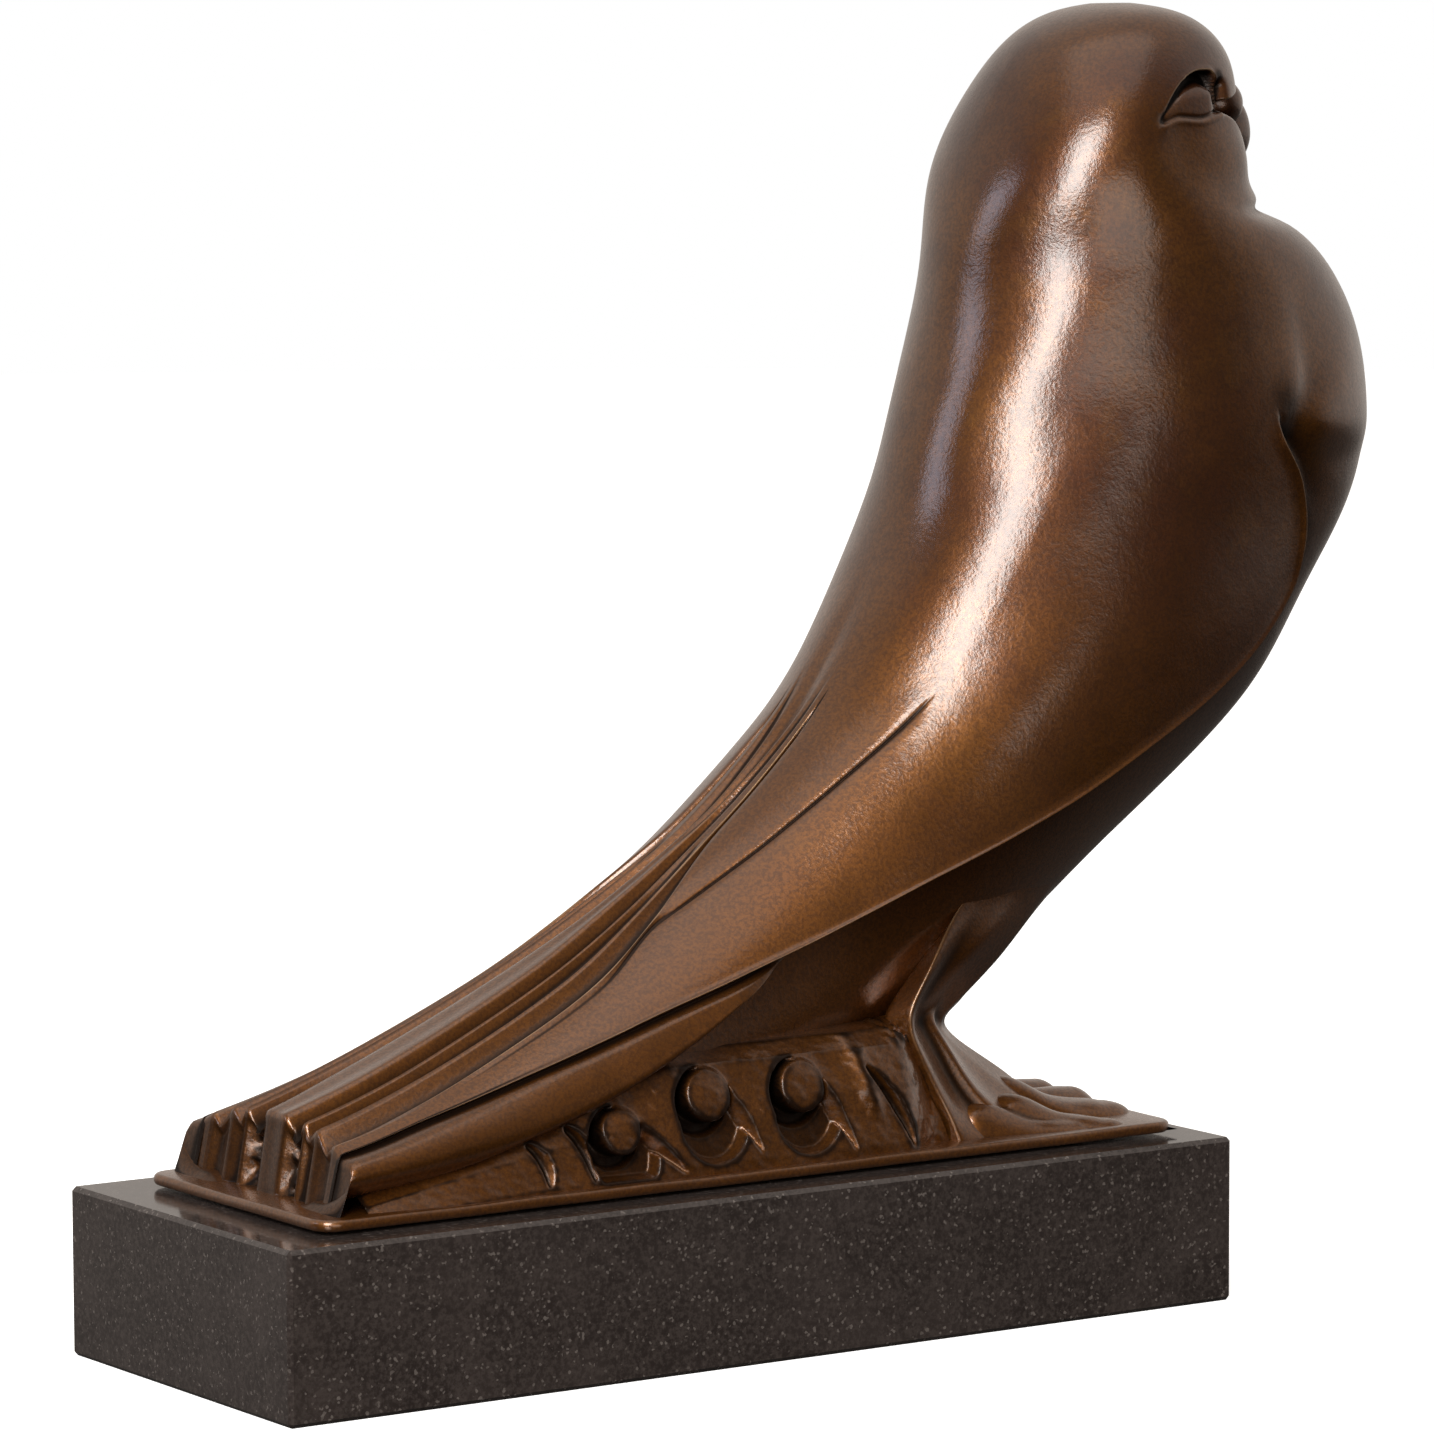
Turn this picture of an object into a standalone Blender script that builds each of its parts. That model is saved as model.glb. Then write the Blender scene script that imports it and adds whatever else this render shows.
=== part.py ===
"""Bronze pigeon sculpture on a granite block, modelled in metres with +Z up.

The bird faces +X and its mid-plane is y = 0. The origin is the centre of the granite's underside.
The bird is a figure, so its pose and carving are drawn once, in millimetres at its drawn height,
and every drawn length follows the bird's real height.
"""
import math

import bmesh
import bpy
import numpy as np
from mathutils import Matrix, Vector

# Granite block
STONE_LENGTH = 0.260
STONE_WIDTH = 0.100
STONE_HEIGHT = 0.0395
STONE_CHAMFER = 0.0010

# Bronze casting
SEAT_GAP = 0.0003
BIRD_HEIGHT = 0.2695
DRAWN_HEIGHT = 269.5

# The drawing's millimetre, and the height on which the drawing stands
DRAWN_MM = BIRD_HEIGHT / DRAWN_HEIGHT
DRAWN_FLOOR = STONE_HEIGHT + SEAT_GAP

# Stations from the crown to the tail's end, in drawn millimetres:
# back line x and z, front line x and z, half-width of the wings, half-width of the belly
STATIONS = (
    (130.0, 269.5, 130.0, 269.5, 0.0, 0.0),
    (117.5, 266.8, 144.5, 267.0, 17.5, 17.5),
    (105.0, 259.7, 156.5, 258.7, 28.0, 28.0),
    (94.5, 246.2, 159.0, 244.2, 35.0, 35.0),
    (86.5, 228.2, 158.8, 227.2, 38.5, 38.5),
    (82.0, 210.2, 182.0, 211.2, 41.0, 41.0),
    (78.0, 192.2, 197.0, 190.2, 43.5, 43.5),
    (73.5, 174.2, 201.0, 168.2, 45.5, 43.5),
    (67.5, 155.2, 195.5, 147.2, 46.5, 41.5),
    (59.0, 136.2, 183.8, 126.0, 47.0, 39.0),
    (47.0, 116.2, 168.0, 103.2, 46.5, 36.5),
    (31.0, 97.2, 143.2, 81.5, 45.0, 33.0),
    (11.0, 79.2, 114.5, 59.5, 43.5, 28.5),
    (-13.0, 62.4, 82.0, 37.5, 42.0, 25.5),
    (-38.0, 48.4, 36.0, 18.2, 40.0, 28.0),
    (-64.0, 36.4, -18.0, 8.2, 38.0, 32.0),
    (-86.0, 27.7, -66.0, 3.5, 36.0, 32.0),
    (-104.0, 21.6, -109.0, 1.4, 34.0, 32.0),
)
TAIL_END = len(STATIONS) - 1

# Lines that run along the bird, as (station, angle round the section from the back's mid-line)
CENTRE_CREST = ((0, 0.10), (6, 0.10), (9, 0.08), (10.5, 0.07), (12, 0.03), (13.1, 0.05),
                (14, 0.11), (15, 0.14), (16, 0.155), (17, 0.125))
CENTRE_VALLEY = ((0, 0.20), (6, 0.20), (9, 0.15), (10.5, 0.11), (12, 0.07), (13.1, 0.12),
                 (14, 0.18), (15, 0.225), (16, 0.25), (17, 0.27))
NARROW_CREST = ((0, 0.30), (6, 0.30), (9, 0.19), (10.5, 0.13), (12, 0.12), (13.1, 0.20),
                (14, 0.265), (15, 0.32), (16, 0.375), (17, 0.39))
NARROW_VALLEY = ((0, 0.40), (6, 0.38), (9, 0.215), (10.5, 0.145), (12, 0.15), (13.1, 0.245),
                 (14, 0.325), (15, 0.40), (16, 0.46), (17, 0.48))
BROAD_CREST = ((0, 0.50), (6, 0.45), (9, 0.235), (10.5, 0.157), (12, 0.175), (13.1, 0.275),
               (14, 0.385), (15, 0.465), (16, 0.53), (17, 0.585))
FLAP_VALLEY = ((0, 0.60), (6, 0.50), (9, 0.25), (10.5, 0.168), (12, 0.19), (13.1, 0.36),
               (14, 0.52), (15, 0.63), (16, 0.75), (17, 0.84))
FLAP_CREST = ((0, 0.70), (6, 0.55), (9, 0.27), (10.5, 0.18), (12, 0.21), (13.1, 0.40),
              (14, 0.56), (15, 0.68), (16, 0.80), (17, 0.90))
WING_CUT = ((0, 0.95), (6, 0.86), (9, 0.78), (10.5, 0.69), (11.3, 0.60), (12, 0.53),
            (13.1, 0.445), (14, 0.62), (15, 0.74), (16, 0.86), (17, 0.96))
WING_EDGE = ((0, 1.55), (3, 1.55), (6, 1.62), (7.2, 1.74), (7.75, 1.91), (8.5, 2.08),
             (8.95, 2.13), (9.4, 2.09), (9.8, 2.02), (10.2, 1.93), (10.65, 1.82), (11.2, 1.70),
             (11.6, 1.58), (12.3, 1.35), (13, 1.18), (13.45, 1.09), (14.2, 1.00), (15, 0.985),
             (16, 1.02), (17, 1.14))
BAND_FOOT = ((0, 1.70), (12.9, 1.30), (13.5, 1.25), (14.15, 1.36), (15.1, 1.63), (15.7, 1.80),
             (16.5, 2.15), (17, 2.30))

# Rise of each line above the smooth form, as (station, drawn millimetres)
MID_RISE = ((0, 0), (9, 0), (10, -1.0), (11, -2.2), (11.7, -2.0), (12.4, 0.0), (14, 0.3), (17, 0.3))
CENTRE_CREST_RISE = ((0, 0), (9, 0), (11, -0.6), (11.7, -0.3), (12.4, 0.5), (14, 1.0), (17, 1.2))
CENTRE_VALLEY_RISE = ((0, 0), (11, 0), (12, -0.8), (13, -2.0), (15, -3.0), (17, -4.0))
NARROW_CREST_RISE = ((0, 0), (12, 0), (12.8, 0.2), (14, 0.8), (17, 1.0))
NARROW_VALLEY_RISE = ((0, 0), (13, 0), (13.4, -0.8), (15, -1.5), (17, -2.0))
BROAD_CREST_RISE = ((0, 0), (13, 0), (14, 0.5), (17, 0.7))
FLAP_VALLEY_RISE = ((0, 0), (10.6, 0), (11.2, -0.7), (13, -1.0), (15, -1.5), (17, -1.8))
FLAP_CREST_RISE = ((0, 0), (10.6, 0), (11.2, 0.3), (13, 0.6), (17, 0.7))
WING_CUT_RISE = ((0, 0), (10.3, 0), (10.6, -1.0), (12.8, -1.0), (13.2, 0), (17, 0))
WING_CUT_HALF_ANGLE = 0.028

# The step under the wing edge, and the lower band of feathers that comes out of it
NOTCH_START = 6.9
NOTCH_FULL = 8.2
BAND_START = 12.7
BAND_FULL = 13.7
BAND_GROOVE_DEPTH = 2.4
BAND_SPREAD = ((0, 0), (15, 0), (16, 2.0), (17, 3.5))
EDGE_STEP_ANGLES = (0.012, 0.020, 0.028, 0.040)
EDGE_STEP_SHARES = (0.35, 0.6, 0.7, 0.85)
BAND_ANGLES = (0.045, 0.11)
BAND_LEAST_ANGLE = 0.03

# Rows of the mesh: (first station, last station, rows between them)
ROW_RUNS = ((0.35, 2.4, 5), (2.4, 5.0, 13), (5.0, 12.0, 20), (12.0, 17.0, 16))
WING_COLUMNS = 3
BELLY_COLUMNS = 5

# Face, in drawn millimetres
EYE_SOCKET = ((130.5, 38.5, 241.5), (12.0, 6.5, 11.0))
EYE_LID = ((130.5, 32.0, 239.5), (10.0, 5.0, 10.0))
EYE_SHELF = 241.0
BEAK = ((163.0, 0.0, 236.5), (9.5, 5.5, 11.0))
CERE = ((162.5, 0.0, 247.5), (8.0, 8.0, 6.5))
CHEEK = (3.75, 2.35, 3.0)
CHEEK_SPREAD = (0.55, 0.50)
THROAT = (4.42, 2.2)
THROAT_HALF_LENGTH = 0.28
THROAT_SIDE = (1.75, 2.4)
LORE = (2.95, 2.45, 3.5)
LORE_SPREAD = (0.38, 0.38)

# Legs: levels from thigh to sole in drawn millimetres. Each has its height and then, as x and distance
# off the mid-plane, the back edge, the outer ridge, the front crease, the front's swell, the front's
# inner edge and the inner side
LEG_LEVELS = (
    (72.0, (86.0, 14.0), (84.0, 22.0), (100.0, 22.0), (114.0, 16.0), (121.0, 8.0), (104.0, 3.0)),
    (58.0, (70.5, 21.0), (67.6, 30.0), (85.0, 28.5), (100.0, 21.0), (109.0, 9.0), (90.0, 3.0)),
    (47.0, (60.2, 22.0), (58.3, 30.0), (73.6, 26.0), (88.0, 20.0), (96.4, 9.0), (78.0, 4.0)),
    (36.5, (50.6, 22.0), (51.5, 30.0), (66.0, 21.0), (77.0, 17.0), (83.9, 9.5), (66.0, 7.0)),
    (31.5, (47.5, 22.5), (50.6, 30.0), (62.8, 20.0), (71.0, 16.0), (78.0, 10.0), (60.0, 8.0)),
    (28.0, (48.2, 23.0), (51.2, 30.2), (64.0, 20.0), (70.0, 15.5), (75.2, 10.0), (60.0, 9.0)),
    (22.5, (50.2, 24.3), (53.6, 30.7), (66.8, 21.0), (76.0, 15.0), (82.5, 10.0), (62.0, 10.0)),
    (14.0, (54.7, 26.5), (57.6, 31.8), (70.5, 24.5), (83.0, 18.0), (92.2, 10.0), (68.0, 10.0)),
    (7.5, (58.6, 29.0), (60.0, 33.5), (76.0, 29.0), (91.0, 22.0), (100.0, 10.0), (74.0, 8.0)),
    (1.0, (60.0, 30.0), (62.0, 34.5), (82.0, 33.0), (99.0, 24.0), (110.0, 10.0), (76.0, 7.0)),
)
LEG_ROUNDING = 0.28
FOOT_ROOT = 1.0
TOES = (((78.0, 27.0), (103.0, 34.0)), ((82.0, 16.5), (119.0, 23.0)), ((82.0, 9.0), (119.0, 8.0)))
TOE_HALF_WIDTH = 7.0
TOE_HEIGHT = 6.8
TOE_BED = 2.0

# Ground plate under the feet and the tail, in drawn millimetres
PLATE_REAR = -116.0
PLATE_FRONT = 121.0
PLATE_HALF_WIDTH = 40.5
PLATE_THICKNESS = 3.2
PLATE_CORNER = 6.0
PLATE_EDGE = 1.0
CORNER_STEPS = 4

# Carved ground under the tail, in drawn millimetres
MOUND_REAR = -98.0
MOUND_FRONT = 50.0
MOUND_TAPER_START = -20.0
MOUND_REAR_SHARE = 0.15
MOUND_ROOT = 1.2
MOUND_SECTION = ((MOUND_ROOT, 38.5), (5.5, 38.0), (18.0, 35.0), (28.0, 31.5), (31.5, 27.0))
MOUND_STEPS = 8
DISCS = ((-34.5, 14.8, 5.4), (-10.0, 20.8, 6.2), (16.0, 20.6, 6.2))
WEB_LOW = (40.0, -17.0, 1.4)
WEB_HIGH = (68.0, 17.0, 34.0)
WEB_EDGE = 3.0
DISC_FACE = 36.0
DISC_ROOT = 27.0
MOAT_WIDTH = 3.0
MOAT_SHIFT = (-1.6, -1.8)
MOAT_FLOOR = 31.0
MOAT_MOUTH = 45.0
LEAF_CUTS = ((-48.0, 17.0, -41.5, 4.5), (-58.5, 13.8, -54.0, 4.5), (-24.0, 22.0, -17.5, 5.0),
             (3.5, 22.0, 6.0, 6.0), (28.0, 22.0, 31.5, 5.0), (34.5, 24.5, 46.5, 4.0))
LEAF_WIDTH = 1.8
LEAF_DEPTH = 2.8
LEAF_STAND = 0.5
ROUND_SIDES = 18
SHARP_ANGLE = math.radians(40)
NO_WIDTH = 1e-6

BRONZE_COLOUR = (0.105, 0.042, 0.016, 1.0)
STONE_COLOUR = (0.016, 0.015, 0.015, 1.0)


def clear_scene():
    for item in list(bpy.data.objects):
        bpy.data.objects.remove(item, do_unlink=True)


def collection(name):
    made = bpy.data.collections.new(name)
    bpy.context.scene.collection.children.link(made)
    return made


def material(name, colour, metallic, roughness):
    made = bpy.data.materials.new(name)
    made.use_nodes = True
    shader = made.node_tree.nodes["Principled BSDF"]
    shader.inputs["Base Color"].default_value = colour
    shader.inputs["Metallic"].default_value = metallic
    shader.inputs["Roughness"].default_value = roughness
    made.diffuse_color = colour
    return made


def smooth_curve(knots, values):
    """Natural cubic curve through the values, the smoothest one that meets them all."""
    knots = np.asarray(knots, float)
    values = np.asarray(values, float)
    count = len(knots)
    steps = np.diff(knots)
    system = np.eye(count)
    bend = np.zeros(values.shape)
    slopes = np.diff(values, axis=0) / steps.reshape((-1,) + (1,) * (values.ndim - 1))
    for i in range(1, count - 1):
        system[i, i - 1] = steps[i - 1]
        system[i, i] = 2 * (steps[i - 1] + steps[i])
        system[i, i + 1] = steps[i]
        bend[i] = 3 * (slopes[i] - slopes[i - 1])
    bend = np.linalg.solve(system, bend)

    def read(at):
        at = np.asarray(at, float)
        i = np.clip(np.searchsorted(knots, at, side="right") - 1, 0, count - 2)
        shape = at.shape + (1,) * (values.ndim - 1)
        run = (at - knots[i]).reshape(shape)
        step = steps[i].reshape(shape)
        tilt = slopes[i] - step * (2 * bend[i] + bend[i + 1]) / 3
        twist = (bend[i + 1] - bend[i]) / (3 * step)
        return values[i] + tilt * run + bend[i] * run ** 2 + twist * run ** 3

    return read


def local_curve(pairs):
    """Curve through (place, value) pairs that never swings past them."""
    knots = np.array([pair[0] for pair in pairs], float)
    values = np.array([pair[1] for pair in pairs], float)
    steps = np.diff(knots)
    rises = np.diff(values) / steps
    slopes = np.zeros(len(knots))
    same_way = rises[:-1] * rises[1:] > 0
    before, after = rises[:-1][same_way], rises[1:][same_way]
    first = (2 * steps[1:] + steps[:-1])[same_way]
    second = (steps[1:] + 2 * steps[:-1])[same_way]
    slopes[1:-1][same_way] = (first + second) / (first / before + second / after)

    def read(at):
        at = np.clip(np.asarray(at, float), knots[0], knots[-1])
        i = np.clip(np.searchsorted(knots, at, side="right") - 1, 0, len(steps) - 1)
        t = (at - knots[i]) / steps[i]
        rise = values[i + 1] - values[i]
        bend = slopes[i] * steps[i] * t * (1 - t) ** 2 - slopes[i + 1] * steps[i] * t ** 2 * (1 - t)
        return values[i] + rise * t * t * (3 - 2 * t) + bend

    return read


def ramp(at, start, full):
    t = np.clip((np.asarray(at, float) - start) / (full - start), 0, 1)
    return t * t * (3 - 2 * t)


def hill(at, middle, spread):
    return np.exp(-((at - middle) / spread) ** 2)


station_at = smooth_curve(range(len(STATIONS)), STATIONS)


def drawn(x, y, z):
    """Place in metres of a point given in drawn millimetres."""
    return Vector((x * DRAWN_MM, y * DRAWN_MM, DRAWN_FLOOR + z * DRAWN_MM))


def section_point(station, angle, half_width, rise):
    """Point of the section at a station: angle 0 is the back's mid-line, pi the front's."""
    back_x, back_z, front_x, front_z = (station_at(station)[..., i] for i in range(4))
    share = (1 - np.cos(angle)) / 2
    chord = np.hypot(front_x - back_x, front_z - back_z) + NO_WIDTH
    out_along = -np.cos(angle) / (chord / 2)
    out_across = np.sin(angle) / np.maximum(half_width, NO_WIDTH)
    size = np.hypot(out_along, out_across)
    push = rise * out_along / size / chord
    x = back_x + (front_x - back_x) * (share + push)
    z = back_z + (front_z - back_z) * (share + push)
    y = half_width * np.sin(angle) + rise * out_across / size
    return x, y, z


def body_columns(station):
    """Angle, half-width and rise of every mesh column of one half, at the given stations."""
    wing_half = station_at(station)[..., 4]
    belly_half = station_at(station)[..., 5]
    step = (wing_half - belly_half) * ramp(station, NOTCH_START, NOTCH_FULL)
    flat = np.zeros_like(station)
    columns = [(flat, wing_half, local_curve(MID_RISE)(station))]
    feathers = ((CENTRE_CREST, CENTRE_CREST_RISE), (CENTRE_VALLEY, CENTRE_VALLEY_RISE),
                (NARROW_CREST, NARROW_CREST_RISE), (NARROW_VALLEY, NARROW_VALLEY_RISE),
                (BROAD_CREST, BROAD_CREST_RISE), (FLAP_VALLEY, FLAP_VALLEY_RISE),
                (FLAP_CREST, FLAP_CREST_RISE))
    for line, rise in feathers:
        columns.append((local_curve(line)(station), wing_half, local_curve(rise)(station)))
    cut = local_curve(WING_CUT)(station)
    cut_rise = local_curve(WING_CUT_RISE)(station)
    for side, share in ((-1, 0), (0, 1), (1, 0)):
        columns.append((cut + side * WING_CUT_HALF_ANGLE, wing_half, cut_rise * share))
    edge = local_curve(WING_EDGE)(station)
    start = cut + WING_CUT_HALF_ANGLE
    for i in range(1, WING_COLUMNS + 1):
        share = i / (WING_COLUMNS + 1)
        columns.append((start + (edge - start) * share, wing_half, flat))
    columns.append((edge, wing_half, flat))
    band = ramp(station, BAND_START, BAND_FULL)
    band_half = wing_half + local_curve(BAND_SPREAD)(station)
    foot = local_curve(BAND_FOOT)(station)
    groove_half = wing_half - BAND_GROOVE_DEPTH
    narrow = [edge + extra for extra in EDGE_STEP_ANGLES]
    groove_angle = narrow[0] + (edge + BAND_ANGLES[0] - narrow[0]) * band
    crest_angle = narrow[1] + (edge + BAND_ANGLES[1] - narrow[1]) * band
    lowest = np.maximum(foot, edge + BAND_ANGLES[1] + BAND_LEAST_ANGLE)
    foot_angle = narrow[2] + (lowest - narrow[2]) * band
    root_angle = foot_angle + EDGE_STEP_ANGLES[3] - EDGE_STEP_ANGLES[2]
    angles = (groove_angle, crest_angle, (crest_angle + foot_angle) / 2, foot_angle)
    banded = (groove_half, band_half, band_half, band_half)
    for angle, plain_share, half in zip(angles, EDGE_STEP_SHARES, banded):
        plain_half = wing_half - plain_share * step
        columns.append((angle, plain_half + (half - plain_half) * band, flat))
    belly = wing_half - step
    columns.append((root_angle, belly, flat))
    for i in range(1, BELLY_COLUMNS + 1):
        share = i / (BELLY_COLUMNS + 1)
        columns.append((root_angle + (math.pi - root_angle) * share, belly, flat))
    columns.append((flat + math.pi, belly, flat))
    return columns


def face_rise(station, angle):
    """Swell of the cheeks, the fold between them and the breast, and the hollow beside the beak."""
    swell = CHEEK[2] * hill(station, CHEEK[0], CHEEK_SPREAD[0]) * hill(angle, CHEEK[1], CHEEK_SPREAD[1])
    fold = THROAT[1] * hill(station, THROAT[0], THROAT_HALF_LENGTH) * ramp(angle, *THROAT_SIDE)
    lore = LORE[2] * hill(station, LORE[0], LORE_SPREAD[0]) * hill(angle, LORE[1], LORE_SPREAD[1])
    return swell - fold - lore


def body_rows():
    rows = []
    for first, last, count in ROW_RUNS:
        rows.extend(np.linspace(first, last, count, endpoint=False))
    rows.append(float(TAIL_END))
    return np.array(rows)


def bird_body():
    """Closed loft of the bird without its legs."""
    rows = body_rows()
    half = [section_point(rows, angle, width, rise + face_rise(rows, angle))
            for angle, width, rise in body_columns(rows)]
    mesh = bmesh.new()
    crown = mesh.verts.new(drawn(STATIONS[0][0], 0, STATIONS[0][1]))
    rings = []
    for r in range(len(rows)):
        near = [mesh.verts.new(drawn(x[r], -max(y[r], 0), z[r])) for x, y, z in half]
        far = [mesh.verts.new(drawn(x[r], max(y[r], 0), z[r])) for x, y, z in half[1:-1]]
        rings.append(near + far[::-1])
    count = len(rings[0])
    for i in range(count):
        j = (i + 1) % count
        mesh.faces.new((crown, rings[0][i], rings[0][j]))
        for upper, lower in zip(rings, rings[1:]):
            mesh.faces.new((upper[i], lower[i], lower[j], upper[j]))
    mesh.faces.new(rings[-1])
    bmesh.ops.recalc_face_normals(mesh, faces=mesh.faces)
    return mesh


def ellipsoid(place, radii, side=1):
    mesh = bmesh.new()
    bmesh.ops.create_uvsphere(mesh, u_segments=ROUND_SIDES, v_segments=ROUND_SIDES // 2, radius=1.0)
    size = Matrix.Diagonal((radii[0] * DRAWN_MM, radii[1] * DRAWN_MM, radii[2] * DRAWN_MM, 1.0))
    centre = drawn(place[0], side * place[1], place[2])
    bmesh.ops.transform(mesh, matrix=Matrix.Translation(centre) @ size, verts=mesh.verts)
    return mesh


def cut_below(mesh, height):
    """Cut a closed form off level at a drawn height and keep what is above it."""
    cut = bmesh.ops.bisect_plane(mesh, geom=mesh.verts[:] + mesh.edges[:] + mesh.faces[:],
                                 plane_co=drawn(0, 0, height), plane_no=(0, 0, -1), clear_outer=True)
    rim = [item for item in cut["geom_cut"] if isinstance(item, bmesh.types.BMEdge)]
    bmesh.ops.contextual_create(mesh, geom=rim)


def loft(rings):
    """Closed form through rings of as many points each."""
    mesh = bmesh.new()
    rows = [[mesh.verts.new(point) for point in ring] for ring in rings]
    count = len(rows[0])
    for upper, lower in zip(rows, rows[1:]):
        for i in range(count):
            j = (i + 1) % count
            mesh.faces.new((upper[i], lower[i], lower[j], upper[j]))
    mesh.faces.new(rows[0])
    mesh.faces.new(rows[-1])
    bmesh.ops.recalc_face_normals(mesh, faces=mesh.faces)
    return mesh


def leg(side):
    """Thigh, shank and foot of one leg, with rounded ridges down its back and outer side."""
    rings = []
    for height, *corners in LEG_LEVELS:
        ring = []
        for here, following in zip(corners, corners[1:] + corners[:1]):
            for share in (LEG_ROUNDING, 1 - LEG_ROUNDING):
                x = here[0] + (following[0] - here[0]) * share
                out = here[1] + (following[1] - here[1]) * share
                ring.append(drawn(x, side * out, height))
        rings.append(ring)
    return loft(rings)


def toe(heel, tip, side):
    """One toe: a long low form that lies on the plate from the foot to its tip."""
    length = math.dist(heel, tip)
    mesh = bmesh.new()
    bmesh.ops.create_uvsphere(mesh, u_segments=ROUND_SIDES // 2, v_segments=ROUND_SIDES // 3,
                              radius=1.0)
    size = Matrix.Diagonal((length / 2, TOE_HALF_WIDTH, TOE_HEIGHT, 1 / DRAWN_MM)) * DRAWN_MM
    heading = math.atan2(side * (tip[1] - heel[1]), tip[0] - heel[0])
    middle = drawn((heel[0] + tip[0]) / 2, side * (heel[1] + tip[1]) / 2, TOE_BED)
    place = Matrix.Translation(middle) @ Matrix.Rotation(heading, 4, "Z") @ size
    bmesh.ops.transform(mesh, matrix=place, verts=mesh.verts)
    cut_below(mesh, FOOT_ROOT)
    return mesh


def mound():
    """Ground under the belly and the tail, lower towards the tail's end."""
    rings = []
    for i in range(MOUND_STEPS + 1):
        x = MOUND_REAR + (MOUND_FRONT - MOUND_REAR) * i / MOUND_STEPS
        share = np.clip((x - MOUND_REAR) / (MOUND_TAPER_START - MOUND_REAR), 0, 1)
        tall = MOUND_REAR_SHARE + (1 - MOUND_REAR_SHARE) * share
        heights = [MOUND_ROOT + (z - MOUND_ROOT) * tall for z, half in MOUND_SECTION]
        halves = [half for z, half in MOUND_SECTION]
        near = [drawn(x, -half, z) for z, half in zip(heights, halves)]
        far = [drawn(x, half, z) for z, half in zip(reversed(heights), reversed(halves))]
        rings.append(near + far)
    return loft(rings)


def side_cylinder(x, z, radius, inner, outer, side):
    """Round bar across the bird, from one distance off the mid-plane to another."""
    mesh = bmesh.new()
    bmesh.ops.create_cone(mesh, cap_ends=True, segments=ROUND_SIDES, radius1=radius * DRAWN_MM,
                          radius2=radius * DRAWN_MM, depth=(outer - inner) * DRAWN_MM)
    place = Matrix.Translation(drawn(x, side * (inner + outer) / 2, z))
    bmesh.ops.transform(mesh, matrix=place @ Matrix.Rotation(math.pi / 2, 4, "X"), verts=mesh.verts)
    return mesh


def mound_side(z):
    heights = [ring[0] for ring in MOUND_SECTION]
    return float(np.interp(z, heights, [ring[1] for ring in MOUND_SECTION]))


def leaf_cut(top_x, top_z, foot_x, foot_z, side):
    """Long pointed scoop down the side of the ground."""
    top = drawn(top_x, side * (mound_side(top_z) + LEAF_STAND), top_z)
    foot = drawn(foot_x, side * (mound_side(foot_z) + LEAF_STAND), foot_z)
    mesh = bmesh.new()
    bmesh.ops.create_uvsphere(mesh, u_segments=ROUND_SIDES // 2, v_segments=ROUND_SIDES // 3,
                              radius=1.0)
    size = Matrix.Diagonal((LEAF_WIDTH * DRAWN_MM, LEAF_DEPTH * DRAWN_MM, (top - foot).length / 2, 1.0))
    lean = (top - foot).to_track_quat("Z", "Y").to_matrix().to_4x4()
    place = Matrix.Translation((top + foot) / 2) @ lean @ size
    bmesh.ops.transform(mesh, matrix=place, verts=mesh.verts)
    return mesh


def block(low, high):
    mesh = bmesh.new()
    bmesh.ops.create_cube(mesh, size=1.0)
    size = Vector(high) - Vector(low)
    middle = (Vector(high) + Vector(low)) / 2
    bmesh.ops.transform(mesh, matrix=Matrix.Translation(middle) @ Matrix.Diagonal((*size, 1.0)),
                        verts=mesh.verts)
    return mesh


def bevel(mesh, edges, offset, segments):
    bmesh.ops.bevel(mesh, geom=edges, offset=offset, segments=segments, profile=0.5,
                    affect="EDGES", clamp_overlap=True, material=-1)


def rounded_block(low, high, corner, edge):
    """Box whose upright corners are rounded and whose top rim is chamfered."""
    mesh = block(low, high)
    bevel(mesh, [e for e in mesh.edges if e.verts[0].co.xy == e.verts[1].co.xy], corner, CORNER_STEPS)
    top = max(vert.co.z for vert in mesh.verts)
    bevel(mesh, [e for e in mesh.edges if min(v.co.z for v in e.verts) == top], edge, 1)
    return mesh


def ground_plate():
    return rounded_block(drawn(PLATE_REAR, -PLATE_HALF_WIDTH, 0),
                         drawn(PLATE_FRONT, PLATE_HALF_WIDTH, PLATE_THICKNESS),
                         PLATE_CORNER * DRAWN_MM, PLATE_EDGE * DRAWN_MM)


def stone_base():
    half = Vector((STONE_LENGTH / 2, STONE_WIDTH / 2, 0))
    mesh = block(-half, half + Vector((0, 0, STONE_HEIGHT)))
    bevel(mesh, mesh.edges[:], STONE_CHAMFER, 1)
    return mesh


def as_object(name, mesh, group, finish=None):
    bmesh.ops.triangulate(mesh, faces=mesh.faces)
    bmesh.ops.recalc_face_normals(mesh, faces=mesh.faces)
    data = bpy.data.meshes.new(name)
    mesh.to_mesh(data)
    mesh.free()
    data.shade_smooth()
    data.set_sharp_from_angle(angle=SHARP_ANGLE)
    made = bpy.data.objects.new(name, data)
    group.objects.link(made)
    if finish:
        data.materials.append(finish)
    return made


def tool(name, mesh, group):
    """Form that another object takes up or loses, kept out of the render."""
    made = as_object(name, mesh, group)
    made.hide_render = True
    made.display_type = "WIRE"
    return made


def combine(target, other, operation):
    step = target.modifiers.new(f"{operation.lower()} {other.name}", "BOOLEAN")
    step.operation = operation
    step.solver = "EXACT"
    step.object = other


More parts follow.
